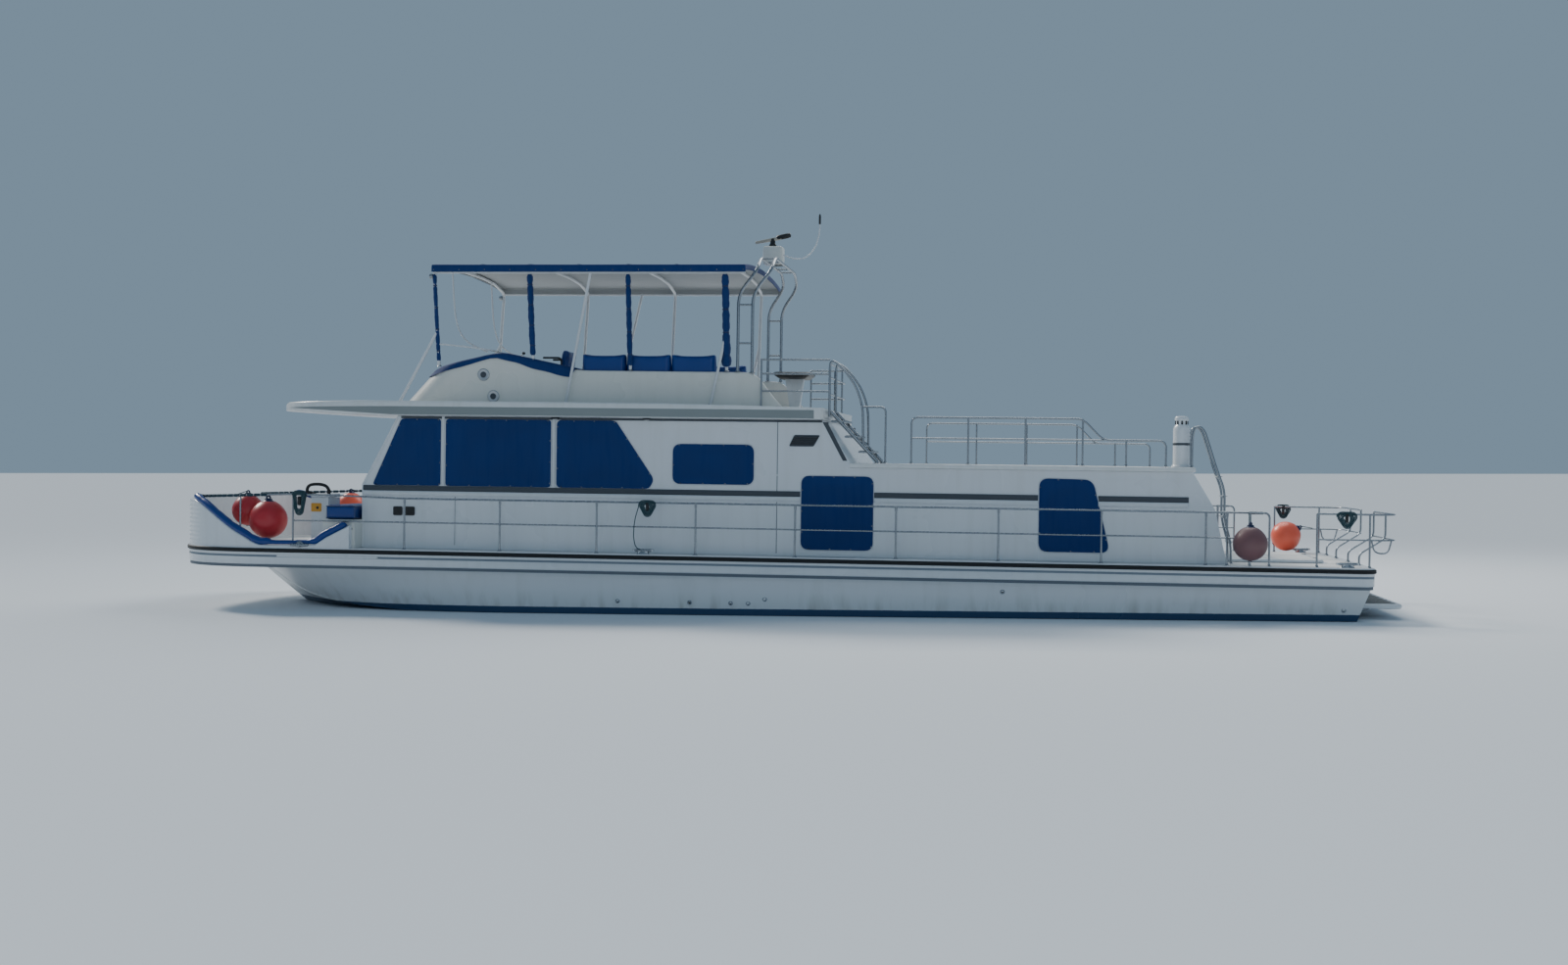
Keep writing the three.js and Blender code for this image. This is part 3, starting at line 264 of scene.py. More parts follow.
class Shape:
    """Points and faces of one piece, with the number of each face's finish."""

    def __init__(self):
        self.points, self.faces, self.marks = [], [], []

    def add(self, made, mark=0):
        """Add points and faces; a list of marks repeats over the faces in order."""
        points, faces = made
        start = len(self.points)
        self.points += [Vector(p) for p in points]
        self.faces += [tuple(i + start for i in face) for face in faces]
        marks = mark if isinstance(mark, list) else [mark]
        self.marks += [marks[k % len(marks)] for k in range(len(faces))]
        return self

    def across(self):
        other = Shape()
        other.points, other.faces, other.marks = across(self.points), self.faces, self.marks
        return other

    def doubled(self):
        """The shape together with its mirror image."""
        other = (across(self.points), self.faces)
        return Shape().add((self.points, self.faces), self.marks).add(other, self.marks)


def shaped(*made):
    shape = Shape()
    for one in made:
        shape.add(one)
    return shape


def new_object(name, data):
    obj = bpy.data.objects.new(name, data)
    bpy.context.collection.objects.link(obj)
    return obj


def new_mesh(name, points, faces, marks=()):
    """A mesh without doubled points, its faces looking out."""
    mesh = bpy.data.meshes.new(name)
    mesh.from_pydata([tuple(p) for p in points], [], faces)
    if marks:
        mesh.polygons.foreach_set("material_index", marks)
    bm = bmesh.new()
    bm.from_mesh(mesh)
    bmesh.ops.remove_doubles(bm, verts=bm.verts, dist=1e-5)
    bmesh.ops.recalc_face_normals(bm, faces=bm.faces)
    bm.to_mesh(mesh)
    bm.free()
    return mesh


def finished(name, mesh, finishes, slot, body=BOAT, replaces=()):
    """The mesh as an object in its finishes, tilted with the boat and riding on its body."""
    for material in finishes if isinstance(finishes, list) else [finishes]:
        mesh.materials.append(material)
    mesh.transform(LEVEL)
    mesh.shade_smooth()
    return riding(new_object(name, mesh), slot, body, replaces)


def riding(obj, slot, body=BOAT, replaces=()):
    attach(obj, body)
    if replaces:
        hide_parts(*replaces)
    return obj


def piece(name, shape, finishes, slot, body=BOAT, replaces=(), bevel=0, smooth=35):
    """One finished object from a shape; edges sharper than smooth degrees stay sharp."""
    mesh = new_mesh(name, shape.points, shape.faces, shape.marks)
    obj = finished(name, mesh, finishes, slot, body, replaces)
    mesh.set_sharp_from_angle(angle=math.radians(smooth))
    if bevel:
        edge = obj.modifiers.new("edges", "BEVEL")
        edge.width, edge.segments, edge.limit_method = bevel, 2, "ANGLE"
        edge.angle_limit = math.radians(40)
    return obj


def pair(name, shape, finishes, slot, stands_for="", body="", **more):
    """A piece on the port side and its mirror image to starboard."""
    for side, word in SIDES:
        piece(name + word, shape if side > 0 else shape.across(), finishes, slot,
              body=body + word if body else BOAT, replaces=[stands_for + word] if stands_for else (), **more)


# Effects that several materials share, as node groups

def new_group(name, inputs, outputs):
    tree = bpy.data.node_groups.new(name, "ShaderNodeTree")
    for socket, value in inputs.items():
        made = tree.interface.new_socket(socket, in_out="INPUT", socket_type="NodeSocketFloat")
        made.default_value = value
    for socket in outputs:
        tree.interface.new_socket(socket, in_out="OUTPUT", socket_type="NodeSocketFloat")
    return tree, tree.nodes.new("NodeGroupInput").outputs, tree.nodes.new("NodeGroupOutput").inputs


def node(tree, kind, inputs=None, **settings):
    """A node with its settings; each input is a value or the socket that feeds it."""
    made = tree.nodes.new(kind)
    for name, value in settings.items():
        setattr(made, name, value)
    for name, value in (inputs or {}).items():
        if isinstance(value, bpy.types.NodeSocket):
            tree.links.new(value, made.inputs[name])
        else:
            made.inputs[name].default_value = value
    return made


def maths(tree, operation, first, second):
    return node(tree, "ShaderNodeMath", {0: first, 1: second}, operation=operation).outputs[0]


def noise(tree, size, scale, detail):
    """Noise on object coordinates that are stretched by size along each axis."""
    place = node(tree, "ShaderNodeTexCoord").outputs["Object"]
    place = node(tree, "ShaderNodeMapping", {"Scale": size, "Vector": place}).outputs["Vector"]
    inputs = {"Vector": place, "Scale": scale, "Detail": detail}
    return node(tree, "ShaderNodeTexNoise", inputs).outputs["Fac"]


def coordinates(tree, kind="Object"):
    place = node(tree, "ShaderNodeTexCoord").outputs[kind]
    return node(tree, "ShaderNodeSeparateXYZ", {0: place}).outputs


def build_weathering():
    """Faint run-off streaks, larger patches and a fine ripple, each from 0 to 1."""
    tree, given, out = new_group("weathering", {"Scale": 1.0}, ("Streaks", "Patches", "Ripple"))
    scale = given["Scale"]
    streaks = noise(tree, (9, 9, 0.9), scale, 5)
    sharp = node(tree, "ShaderNodeMapRange", {"From Min": 0.48, "From Max": 0.78, "Value": streaks})
    tree.links.new(sharp.outputs["Result"], out["Streaks"])
    tree.links.new(noise(tree, (0.7, 0.7, 0.7), scale, 4), out["Patches"])
    tree.links.new(noise(tree, (14, 14, 14), scale, 2), out["Ripple"])
    return tree


def build_weave():
    """Plain weave: threads along every axis, raised where they cross over."""
    tree, given, out = new_group("weave", {"Threads": 700.0}, ("Height",))
    total = 0.0
    for axis in coordinates(tree):
        wave = maths(tree, "SINE", maths(tree, "MULTIPLY", axis, given["Threads"]), 0.0)
        total = maths(tree, "ADD", total, wave)
    tree.links.new(maths(tree, "MULTIPLY", total, 0.33), out["Height"])
    return tree


WEATHERING = build_weathering()
WEAVE = build_weave()


class Finish:
    """A Principled material being built, with short ways to vary its colour and relief."""

    def __init__(self, name, color, roughness, metallic=0.0, coat=0.0):
        self.material = bpy.data.materials.new(name)
        self.material.use_nodes = True
        self.tree = self.material.node_tree
        self.shader = self.tree.nodes["Principled BSDF"]
        self.set("Base Color", (*color, 1))
        self.set("Roughness", roughness)
        self.set("Metallic", metallic)
        self.set("Coat Weight", coat)
        self.set("Coat Roughness", 0.08)
        self.roughness = roughness

    def set(self, socket, value):
        self.shader.inputs[socket].default_value = value

    def feed(self, value, socket):
        self.tree.links.new(value, self.shader.inputs[socket])

    def group(self, tree, **values):
        return node(self.tree, "ShaderNodeGroup", values, node_tree=tree).outputs

    def marks(self, scale=1.0):
        return self.group(WEATHERING, Scale=scale)

    def mix(self, factor, first, second):
        """Blend of two colours, each a tuple or a socket."""
        first, second = ((*c, 1) if isinstance(c, tuple) else c for c in (first, second))
        inputs = {0: factor, 6: first, 7: second}
        return node(self.tree, "ShaderNodeMix", inputs, data_type="RGBA").outputs[2]

    def maths(self, operation, first, second):
        return maths(self.tree, operation, first, second)

    def scaled(self, value, factor, add=0.0):
        return self.maths("ADD", self.maths("MULTIPLY", value, factor), add)

    def paint(self, socket):
        self.feed(socket, "Base Color")

    def rough(self, value, spread):
        """Roughness varied by spread around its plain value."""
        self.feed(self.scaled(value, spread, self.roughness - spread / 2), "Roughness")

    def relief(self, height, distance, strength=0.5):
        inputs = {"Strength": strength, "Distance": distance, "Height": height}
        self.feed(node(self.tree, "ShaderNodeBump", inputs).outputs["Normal"], "Normal")


def shade(color, factor, add=0.0):
    return tuple(min(c * factor + add, 1) for c in color)


def gelcoat(name, color, dirt=0.25, roughness=0.28):
    made = Finish(name, color, roughness, coat=0.25)
    marks = made.marks()
    dull = tuple(c * t for c, t in zip(color, (0.78, 0.76, 0.70)))
    aged = made.mix(made.scaled(marks["Streaks"], dirt), color, dull)
    made.paint(made.mix(made.scaled(marks["Patches"], dirt * 0.7), aged, dull))
    made.rough(marks["Patches"], 0.16)
    made.relief(marks["Ripple"], 0.002, 0.15)
    return made.material


BOOT_TOP = 0.085
GRIME_TOP = 0.30


def hull_paint():
    """White sides, a dark blue boot stripe at the water and black paint below it."""
    white, stripe, below = (0.80, 0.82, 0.83), (0.012, 0.055, 0.13), (0.012, 0.014, 0.016)
    made = Finish("hull paint", white, 0.3, coat=0.2)
    marks = made.marks(0.8)
    height = coordinates(made.tree)["Z"]
    grime = made.maths("SUBTRACT", 1.0, made.scaled(height, 1 / GRIME_TOP))
    grime = made.maths("MAXIMUM", grime, 0.0)
    grime = made.maths("MULTIPLY", grime, made.scaled(marks["Streaks"], 0.7, 0.15))
    dull = made.mix(made.scaled(marks["Streaks"], 0.22), white, (0.62, 0.61, 0.56))
    side = made.mix(grime, dull, (0.42, 0.40, 0.33))
    ragged = made.maths("ADD", height, made.scaled(marks["Ripple"], 0.006, -0.003))
    striped = made.mix(made.maths("LESS_THAN", ragged, BOOT_TOP), side, stripe)
    made.paint(made.mix(made.maths("LESS_THAN", ragged, 0.006), striped, below))
    made.rough(marks["Patches"], 0.2)
    made.relief(marks["Ripple"], 0.003, 0.15)
    return made.material


def cloth(name, color, threads=700.0, faded=1.35):
    made = Finish(name, color, 0.88)
    marks = made.marks(2.0)
    weave = made.group(WEAVE, Threads=threads)["Height"]
    tone = made.mix(made.scaled(marks["Patches"], 0.8), color, shade(color, faded))
    made.paint(made.mix(made.scaled(weave, 0.18, 0.18), tone, shade(color, 0.6)))
    made.rough(marks["Streaks"], 0.12)
    made.relief(weave, 0.0006, 0.5)
    made.set("Sheen Weight", 0.08)
    made.set("Sheen Roughness", 0.5)
    return made.material


def coated_cloth(name, color):
    """Smooth marine upholstery with a fine pebbled grain."""
    made = Finish(name, color, 0.42, coat=0.1)
    marks = made.marks(3.0)
    grain = noise(made.tree, (260, 260, 260), 1.0, 2)
    made.paint(made.mix(made.scaled(marks["Patches"], 0.7), color, shade(color, 1.5, 0.003)))
    made.rough(marks["Streaks"], 0.2)
    made.relief(grain, 0.0006, 0.4)
    return made.material


def metal(name, color, roughness):
    made = Finish(name, color, roughness, metallic=1.0)
    marks = made.marks(4.0)
    made.paint(made.mix(made.scaled(marks["Patches"], 0.6), color, shade(color, 0.72)))
    made.rough(marks["Streaks"], 0.2)
    made.relief(marks["Ripple"], 0.0004, 0.2)
    return made.material


def plain(name, color, roughness, worn=0.35, relief=0.0008, coat=0.0):
    """Paint, rubber or plastic with uneven wear."""
    made = Finish(name, color, roughness, coat=coat)
    marks = made.marks(3.0)
    made.paint(made.mix(made.scaled(marks["Patches"], worn), color, shade(color, 1.3, 0.015)))
    made.rough(marks["Ripple"], 0.2)
    made.relief(marks["Ripple"], relief, 0.3)
    return made.material


def non_slip(name, color):
    made = Finish(name, color, 0.75)
    marks = made.marks(1.5)
    grit = noise(made.tree, (420, 420, 420), 1.0, 1)
    made.paint(made.mix(made.scaled(marks["Patches"], 0.5), color, shade(color, 0.75)))
    made.rough(marks["Streaks"], 0.15)
    made.relief(grit, 0.0012, 0.6)
    return made.material


def tinted_glass():
    clear, haze = (0.025, 0.04, 0.055), (0.06, 0.08, 0.10)
    made = Finish("tinted glass", clear, 0.06)
    marks = made.marks(2.0)
    made.paint(made.mix(made.scaled(marks["Streaks"], 0.3), clear, haze))
    made.rough(marks["Patches"], 0.05)
    made.set("IOR", 1.5)
    return made.material


def rope_finish():
    """Braided dock line, its crossing strands laid along the piece's own map."""
    made = Finish("dock line", (0.008, 0.045, 0.052), 0.9)
    split = coordinates(made.tree, "UV")
    turns = made.maths("MULTIPLY", split["Y"], 2 * math.pi * 4)
    along = made.maths("MULTIPLY", split["X"], 420.0)
    one = made.maths("SINE", made.maths("ADD", along, turns), 0.0)
    two = made.maths("SINE", made.maths("SUBTRACT", along, turns), 0.0)
    height = made.maths("MULTIPLY", one, two)
    # The strands are lighter on their crowns and darker between them: painted light on the crowns and painted shade
    # in the braid's hollows
    made.paint(made.mix(made.scaled(height, 0.5, 0.5), (0.003, 0.026, 0.034), (0.012, 0.092, 0.120)))
    made.relief(height, 0.0015, 0.8)
    made.set("Sheen Weight", 0.3)
    return made.material


WHITE = (0.77, 0.80, 0.83)
NAVY = (0.001, 0.028, 0.140)
GEL = gelcoat("white gelcoat", WHITE)
GEL_ROOF = gelcoat("roof gelcoat", (0.78, 0.80, 0.80), 0.35)
GEL_WARM = gelcoat("cream gelcoat", (0.78, 0.78, 0.73), 0.2)
# Dark grey for joints, vents and bands; along the eave and down the cabin's sloped aft edge it is painted shade
DARK_TRIM_AND_SHADE = plain("dark trim and painted shade", (0.055, 0.066, 0.080), 0.6)
# Painted shadow under the deck edge's lip, and painted shade in the groove below its rub rail
LIP_SHADOW = plain("painted lip shadow", (0.125, 0.150, 0.180), 0.6)
GROOVE_SHADE = plain("painted groove shade", (0.19, 0.23, 0.27), 0.6)
# Dark grey laid on the roof's side face: painted shade under its lip
FASCIA_SHADE = plain("painted fascia shade", (0.24, 0.27, 0.27), 0.6)
HULL = hull_paint()
CANVAS = cloth("navy canvas", NAVY)
LINING = cloth("canopy lining", (0.40, 0.42, 0.43), 900.0, 1.1)
VINYL = coated_cloth("navy upholstery", (0.001, 0.033, 0.19))
PIPING = coated_cloth("piping", (0.001, 0.016, 0.08))
STEEL = metal("stainless tube", (0.33, 0.36, 0.39), 0.34)
ALLOY = metal("aluminium", (0.55, 0.57, 0.59), 0.38)
BRONZE = metal("bronze", (0.42, 0.28, 0.11), 0.35)
TUBE = plain("white tube", (0.66, 0.68, 0.70), 0.35)
RUBBER = plain("black rubber", (0.010, 0.011, 0.012), 0.62)
BLACK = plain("black plastic", (0.012, 0.013, 0.014), 0.4)
TREAD = non_slip("non-slip deck", (0.70, 0.71, 0.70))
DARK_TREAD = non_slip("dark tread", (0.10, 0.115, 0.12))
GLASS = tinted_glass()
ROPE = rope_finish()
ROPE_TAPE = cloth("wound line", (0.006, 0.040, 0.062), 500.0)
# Fender red as lit, and a darker copy of it as painted shade for the fenders on the shaded side
RED = plain("fender red", (0.90, 0.125, 0.065), 0.36, 0.4, 0.001, 0.05)
SHADED_RED = plain("shaded fender red", (0.52, 0.026, 0.036), 0.36, 0.3, 0.001, 0.05)
MAROON = plain("dark fender", (0.19, 0.085, 0.090), 0.45, 0.4, 0.001)
BLUE_END = plain("fender end", (0.006, 0.018, 0.075), 0.4)
ENGINE = plain("engine paint", (0.05, 0.065, 0.075), 0.45)
AMBER = plain("brass latch", (0.75, 0.36, 0.05), 0.35)
AMBER_GREY = plain("sand plastic", (0.42, 0.38, 0.31), 0.45)
LAMP = plain("lamp lens", (0.55, 0.56, 0.55), 0.15)

LOOKS = {
    # slot of the record: finish of the nodes that show as they are
    "gelcoat": GEL,
    "rubber": RUBBER,
    "vinyl": VINYL,
    "canvas": CANVAS,
    "glass": GLASS,
    "stainless": STEEL,
    "white_tube": TUBE,
    "bronze": BRONZE,
    "grey_deck": DARK_TREAD,
    "buoy": RED,
    "rope": ROPE,
    "engine": ENGINE,
    "black_metal": BLACK,
}
NODE_LOOKS = {"hull": HULL, "main_roof": GEL_ROOF, "aft_cabin_roof": GEL_ROOF, "deck_moulding": GEL}


def dress_nodes():
    """Give every node of the frame its finish."""
    slots = {row["node"]: row["material_slot"] for row in frame["record"]["subparts"]}
    for name, obj in frame["nodes"].items():
        look = NODE_LOOKS.get(name, LOOKS[slots[name]])
        obj.data.materials.clear()
        obj.data.materials.append(look)


dress_nodes()


# Lines of the boat that several pieces follow

def half_width(x, gap=0.0):
    """Half the deck's width at x, at a distance inside its edge."""
    half = HALF_BEAM - gap
    if x <= SHOULDER:
        return half
    along = min((x - SHOULDER) / (BOW_LENGTH - gap), 1)
    return half * (1 - along**BOW_FULLNESS) ** (1 / BOW_FULLNESS)


def bow_curve(gap, count=72):
    """The deck's edge round the bow, from starboard to port."""
    power = 2 / BOW_FULLNESS
    curve = []
    for i in range(count + 1):
        t = math.pi * (i / count - 0.5)
        x = SHOULDER + (BOW_LENGTH - gap) * max(math.cos(t), 0) ** power
        y = (HALF_BEAM - gap) * math.copysign(abs(math.sin(t)) ** power, t)
        curve.append(Vector((x, y, 0)))
    return curve


def deck_edge(gap=0.0):
    """The whole deck edge in plan, from the starboard stern corner round the bow to port."""
    half, stern = HALF_BEAM - gap, STERN + gap
    corner = []
    for t in (math.pi / 2 * i / 6 for i in range(7)):
        x = stern + STERN_CORNER * (1 - math.sin(t))
        corner.append(Vector((x, half - STERN_CORNER * (1 - math.cos(t)), 0)))
    return across(reversed(corner)) + bow_curve(gap)[1:-1] + corner


def curve_through(rows, x):
    """Values at x on a curve through rows of numbers led by a rising x; it never overshoots."""
    xs = [row[0] for row in rows]
    x = min(max(x, xs[0]), xs[-1])
    i = max(k for k in range(len(xs) - 1) if xs[k] <= x)
    width = xs[i + 1] - xs[i]
    t = (x - xs[i]) / width
    values = []
    for ys in list(zip(*rows))[1:]:
        steps = [(b - a) / (d - c) for a, b, c, d in zip(ys, ys[1:], xs, xs[1:])]
        steps = [steps[0], *steps, steps[-1]]
        slopes = [2 * a * b / (a + b) if a * b > 0 else 0 for a, b in zip(steps, steps[1:])]
        h = 3 * t * t - 2 * t**3
        value = ys[i] * (1 - h) + ys[i + 1] * h
        value += width * slopes[i] * (t**3 - 2 * t * t + t)
        value += width * slopes[i + 1] * (t**3 - t * t)
        values.append(value)
    return values


# Hull, deck edge and rub rail

STATIONS = [
    # x, half breadth at the deck, at the chine, chine height, keel height over the water
    (-7.57, 2.04, 1.93, -0.06, -0.38),
    (-4.0, 2.05, 1.96, -0.07, -0.45),
    (0.0, 2.05, 1.96, -0.06, -0.50),
    (3.0, 2.04, 1.90, -0.03, -0.50),
    (4.4, 1.96, 1.69, 0.01, -0.47),
    (5.3, 1.76, 1.33, 0.07, -0.40),
    (5.9, 1.45, 0.89, 0.14, -0.24),
    (6.34, 1.05, 0.47, 0.25, 0.015),
    (6.65, 0.64, 0.20, 0.38, 0.26),
    (6.98, 0.08, 0.03, 0.56, 0.535),
]
TRANSOM_RAKE = 0.36
HULL_LIP = HULL_TOP - 0.0003


def afloat(x, height):
    """Height in the level layout of a place at a given height above the water."""
    return height - x * math.tan(TRIM)


def hull_side(x, z):
    """Half breadth of the hull's side at a height of the level layout."""
    deck, chine, chine_height, _ = curve_through(STATIONS, x)
    low = afloat(x, chine_height)
    return chine + (deck - chine) * (z - low) / (HULL_LIP - low)


def build_hull():
    xs = [-7.57, -6.6, -5.4, -4, -2, 0, 1.5, 3] + [3.2 + 0.2 * i for i in range(19)] + [6.9, 6.98]
    rings = []
    for n, x in enumerate(xs):
        deck, chine, chine_height, keel_height = curve_through(STATIONS, x)
        low, keel = afloat(x, chine_height), afloat(x, keel_height)
        rake = TRANSOM_RAKE if n == 0 else 0
        half = []
        for share in (0, 0.15, 0.35, 0.55, 0.75, 0.92):
            swell = 0.006 * math.sin(math.pi * share)
            half.append((deck + (chine - deck) * share + swell, HULL_LIP + (low - HULL_LIP) * share))
        half += [(chine + 0.012, low + 0.012), (chine + 0.010, low - 0.004), (chine * 0.97, low - 0.006)]
        half += [(chine * s, keel + (low - keel) * s - 0.006) for s in (0.7, 0.4, 0.15)]
        outer = half + [(0, keel - 0.012)]
        outer += [(-y, z) for y, z in reversed(half)]
        skin = 0.004
        reach = x + 0.052 * max(x - 4.4, 0)
        ring = [Vector((reach + (HULL_LIP - z) * rake, y + math.copysign(skin, y), z)) for y, z in outer]
        inner = [p + Vector((0, -math.copysign(0.008, p.y), 0.006)) for p in reversed(ring)]
        rings.append(ring + inner)
    piece("hull_skin", shaped(loft(rings)), HULL, "gelcoat")
    fittings = Shape()
    for x, height in [(1.58, 0.15), (0.66, 0.14), (0.14, 0.135), (-0.08, 0.135), (-0.29, 0.19),
                      (-3.22, 0.31), (-7.27, 0.12)]:
        z = afloat(x, height) + 0.02
        place = (x, hull_side(x, z) + 0.002, z)
        ring = [(0.030, 0), (0.030, 0.008), (0.024, 0.012), (0.016, 0.010), (0.014, 0.004)]
        fittings.add(turned(ring, place, (0, 1, 0), 16))
        fittings.add(turned([(0.015, 0), (0.015, 0.006)], place, (0, 1, 0), 12), 1)
    piece("drain_fittings", fittings.doubled(), [STEEL, BLACK], "stainless")


def build_deck_edge():
    section = [
        # out from the edge, up, finish: 1 is the groove below the rub rail, darkened with painted shade, 2 the
        # painted shadow under the lip
        (-0.055, 0.7475, 0), (-0.014, 0.7480, 0), (-0.002, 0.7450, 0), (0.004, 0.7360, 0),
        (0.005, 0.6780, 0), (0.005, 0.6520, 0), (0.004, 0.6490, 1), (0.0012, 0.6460, 1),
        (0.0012, 0.6240, 1), (0.004, 0.6210, 0), (0.005, 0.6180, 0), (0.001, 0.6100, 0),
        (0.001, 0.5350, 0), (-0.004, 0.5280, 0), (-0.0115, 0.5250, 2), (-0.0120, 0.4880, 2),
        (-0.045, 0.4870, 0), (-0.050, 0.7300, 0),
    ]
    made = band(deck_edge(), [row[:2] for row in section])
    shape = Shape().add(made, [row[2] for row in section])
    piece("deck_edge", shape, [GEL, GROOVE_SHADE, LIP_SHADOW], "gelcoat")
    low, high = RUB_LOW - 0.004, RUB_HIGH + 0.003
    rail = [(0.0, low), (0.010, low), (0.020, low + 0.004), (0.0258, low + 0.014),
            (0.024, 0.7035), (0.0205, 0.7065), (0.024, 0.7095), (0.0258, high - 0.014),
            (0.020, high - 0.004), (0.010, high), (0.0, high)]
    piece("rub_rail_strake", shaped(band(deck_edge(), rail)), RUBBER, "rubber", replaces=["rub_rail"], smooth=50)


def deck_plate(outline, z):
    """Rounded non-slip panel laid on a level surface."""
    return stepped(rounded_outline(outline, 0.09), ((0, z + CLEAR), (0, z + 0.0025), (0.004, z + 0.0035)))


def build_treads():
    edge = [(x, half_width(x, 0.16)) for x in (5.55, 5.9, 6.2, 6.5, 6.8, 7.05, 7.25, 7.4, 7.47)]
    shape = shaped(deck_plate([(5.55, 1.2)] + edge + [(7.47, 0.05), (5.55, 0.05)], DECK))
    shape.add(deck_plate(oblong(5.09, 0.05, 5.5, 0.86), DECK))
    for x0, x1 in ((-5.55, -3.6), (-3.5, -1.5), (-1.4, 0.6), (0.7, 2.8), (2.9, 4.95)):
        shape.add(deck_plate(oblong(x0, 1.80, x1, 1.97), DECK))
    shape.add(deck_plate([(-7.5, 1.14), (-7.5, 1.93), (-5.75, 1.93), (-6.0, 1.14)], DECK))
    shape.add(deck_plate(oblong(-7.5, 0.05, -7.24, 1.05), DECK))
    for x0, x1 in ((-5.1, -3.3), (-3.2, -2.1)):
        shape.add(deck_plate(oblong(x0, 0.05, x1, 1.58), AFT_ROOF))
    shape.add(deck_plate(oblong(0.0, 0.05, 2.5, 0.62), ROOF))
    shape.add(deck_plate([(5.0, 0.10), (5.0, 1.2), (5.9, 1.0), (6.1, 0.10)], ROOF))
    pair("deck_tread_", shape, TREAD, "grey_deck")


def build_platform():
    aft, half, low, high = -8.04, 1.6, 0.235, 0.29
    fore = -7.57 + (HULL_LIP - low) * TRANSOM_RAKE - 0.021
    line = rounded_outline(oblong(fore, -half, aft, half), 0.16, 8)
    rows = ((0.02, low), (0.004, low + 0.006), (0, low + 0.02), (0, high - 0.02),
            (0.006, high - 0.006), (0.02, high))
    shape = shaped(stepped(line, rows))
    for i in range(11):
        y = -1.35 + 0.27 * i
        shape.add(deck_plate(oblong(aft + 0.06, y - 0.11, fore - 0.07, y + 0.11), high), 1)
    for y in (-0.9, 0.9):
        corners = [(fore + 0.014, low + 0.005), (fore + 0.092, 0.04), (aft + 0.16, low + 0.005)]
        shape.add(plate(corners, y - 0.015, y + 0.015), 2)
        shape.add(block((fore + 0.01, y - 0.05, low - 0.012), (aft + 0.12, y + 0.05, low + 0.001)), 2)
    piece("swim_platform_board", shape, [GEL, DARK_TREAD, STEEL], "grey_deck",
          replaces=["swim_platform"], bevel=0.003)


# Bow: bulwark, bolsters, seats and locker

BULWARK_TOP = [
    (5.05, 1.040), (5.23, 0.950), (5.40, 0.860), (5.52, 0.785), (6.22, 0.772), (6.32, 0.798),
    (6.45, 0.868), (6.65, 0.975), (6.85, 1.105), (7.09, 1.250), (7.32, 1.335), (7.48, 1.345), (7.7, 1.345),
]
BENCH_TOP = 1.11
RIB_PITCH = 0.056


def bulwark_top(x):
    return curve_through(BULWARK_TOP, x)[0]


def build_bulwark():
    straight = (5.05, 5.2, 5.35, 5.5, 5.7)
    routes = []
    for gap in (0.005, 0.125):
        port = [Vector((x, HALF_BEAM - gap, 0)) for x in reversed(straight)]
        routes.append(across(reversed(port)) + bow_curve(gap, 120) + port)
    base, levels = DECK + 0.0003, 66
    rings = []
    for outer, inner in zip(*routes):
        top = bulwark_top(outer.x)
        out = (outer - inner).normalized()
        front = min(max((outer.x - 7.15) / 0.3, 0), 1)
        ring = []
        for i in range(levels + 1):
            z = base + (top - 0.022 - base) * i / levels
            wave = math.sin(2 * math.pi * z / RIB_PITCH)
            ribbed = front * min((z - base) / 0.06, (top - z) / 0.06, 1)
            ring.append(outer + out * (0.005 * wave * ribbed) + Vector((0, 0, z)))
        for t in (0.25, 0.5, 0.75, 1.0):
            a = math.pi / 2 * t
            z = top - 0.022 * (1 - math.sin(a))
            ring.append(outer - out * 0.022 * (1 - math.cos(a)) + Vector((0, 0, z)))
        for back, z in ((0.012, top), (0.002, top - 0.006), (0, top - 0.02), (0, base)):
            ring.append(inner + out * back + Vector((0, 0, z)))
        rings.append(ring)
    piece("bulwark_shell", shaped(loft(rings)), GEL, "gelcoat", replaces=["bow_bulwark"], smooth=50)
    benches, cleats = Shape(), Shape()
    benches.add(block((CABIN_FRONT + 0.0003, 0.9, DECK + 0.0003), (5.44, 2.018, BENCH_TOP)))
    benches.add(block((5.435, 1.0, 0.83), (5.446, 1.9, 1.03)))
    knob = [(0.026, 0), (0.026, 0.008), (0.018, 0.014)]
    benches.add(turned(knob, (5.07, 2.018, 0.995), (0, 1, 0), 16), 1)
    for side, _ in SIDES:
        x, y, z, half = 5.70, side * 2.152, 0.782, 0.11
        cleats.add(pipe([(x - half, y, z), (x + half, y, z)], 0.016))
        foot = [(0.05, 0), (0.05, 0.006), (0.026, 0.012), (0.022, 0.03)]
        cleats.add(turned(foot, (x, side * 2.128, z), (0, side, 0), 16))
        for way in (1, -1):
            tip = [(0.0165, 0), (0.012, 0.012), (0.002, 0.016)]
            cleats.add(turned(tip, (x + way * half, y, z), (way, 0, 0), 12))
        y = side * RAIL_Y
        for x in (1.25, -7.3):
            horn = [(-0.135, 0.796), (-0.09, 0.792), (0, 0.790), (0.09, 0.792), (0.135, 0.796)]
            cleats.add(pipe([(x + a, y, z) for a, z in horn], [0.012, 0.0195, 0.0215, 0.0195, 0.012], 14))
            foot = ((0.085, 0.036, DECK), (0.08, 0.033, DECK + 0.008), (0.06, 0.024, DECK + 0.038))
            cleats.add(loft([[(x + long * math.cos(a), y + wide * math.sin(a), z) for a in ring_angles(20)]
                             for long, wide, z in foot]))
    piece("bow_benches", benches.doubled(), [GEL_WARM, BLACK], "gelcoat", bevel=0.012)
    piece("mooring_cleats", cleats, STEEL, "stainless")


BOLSTER_R = 0.046
SEAM_PITCH = 0.30


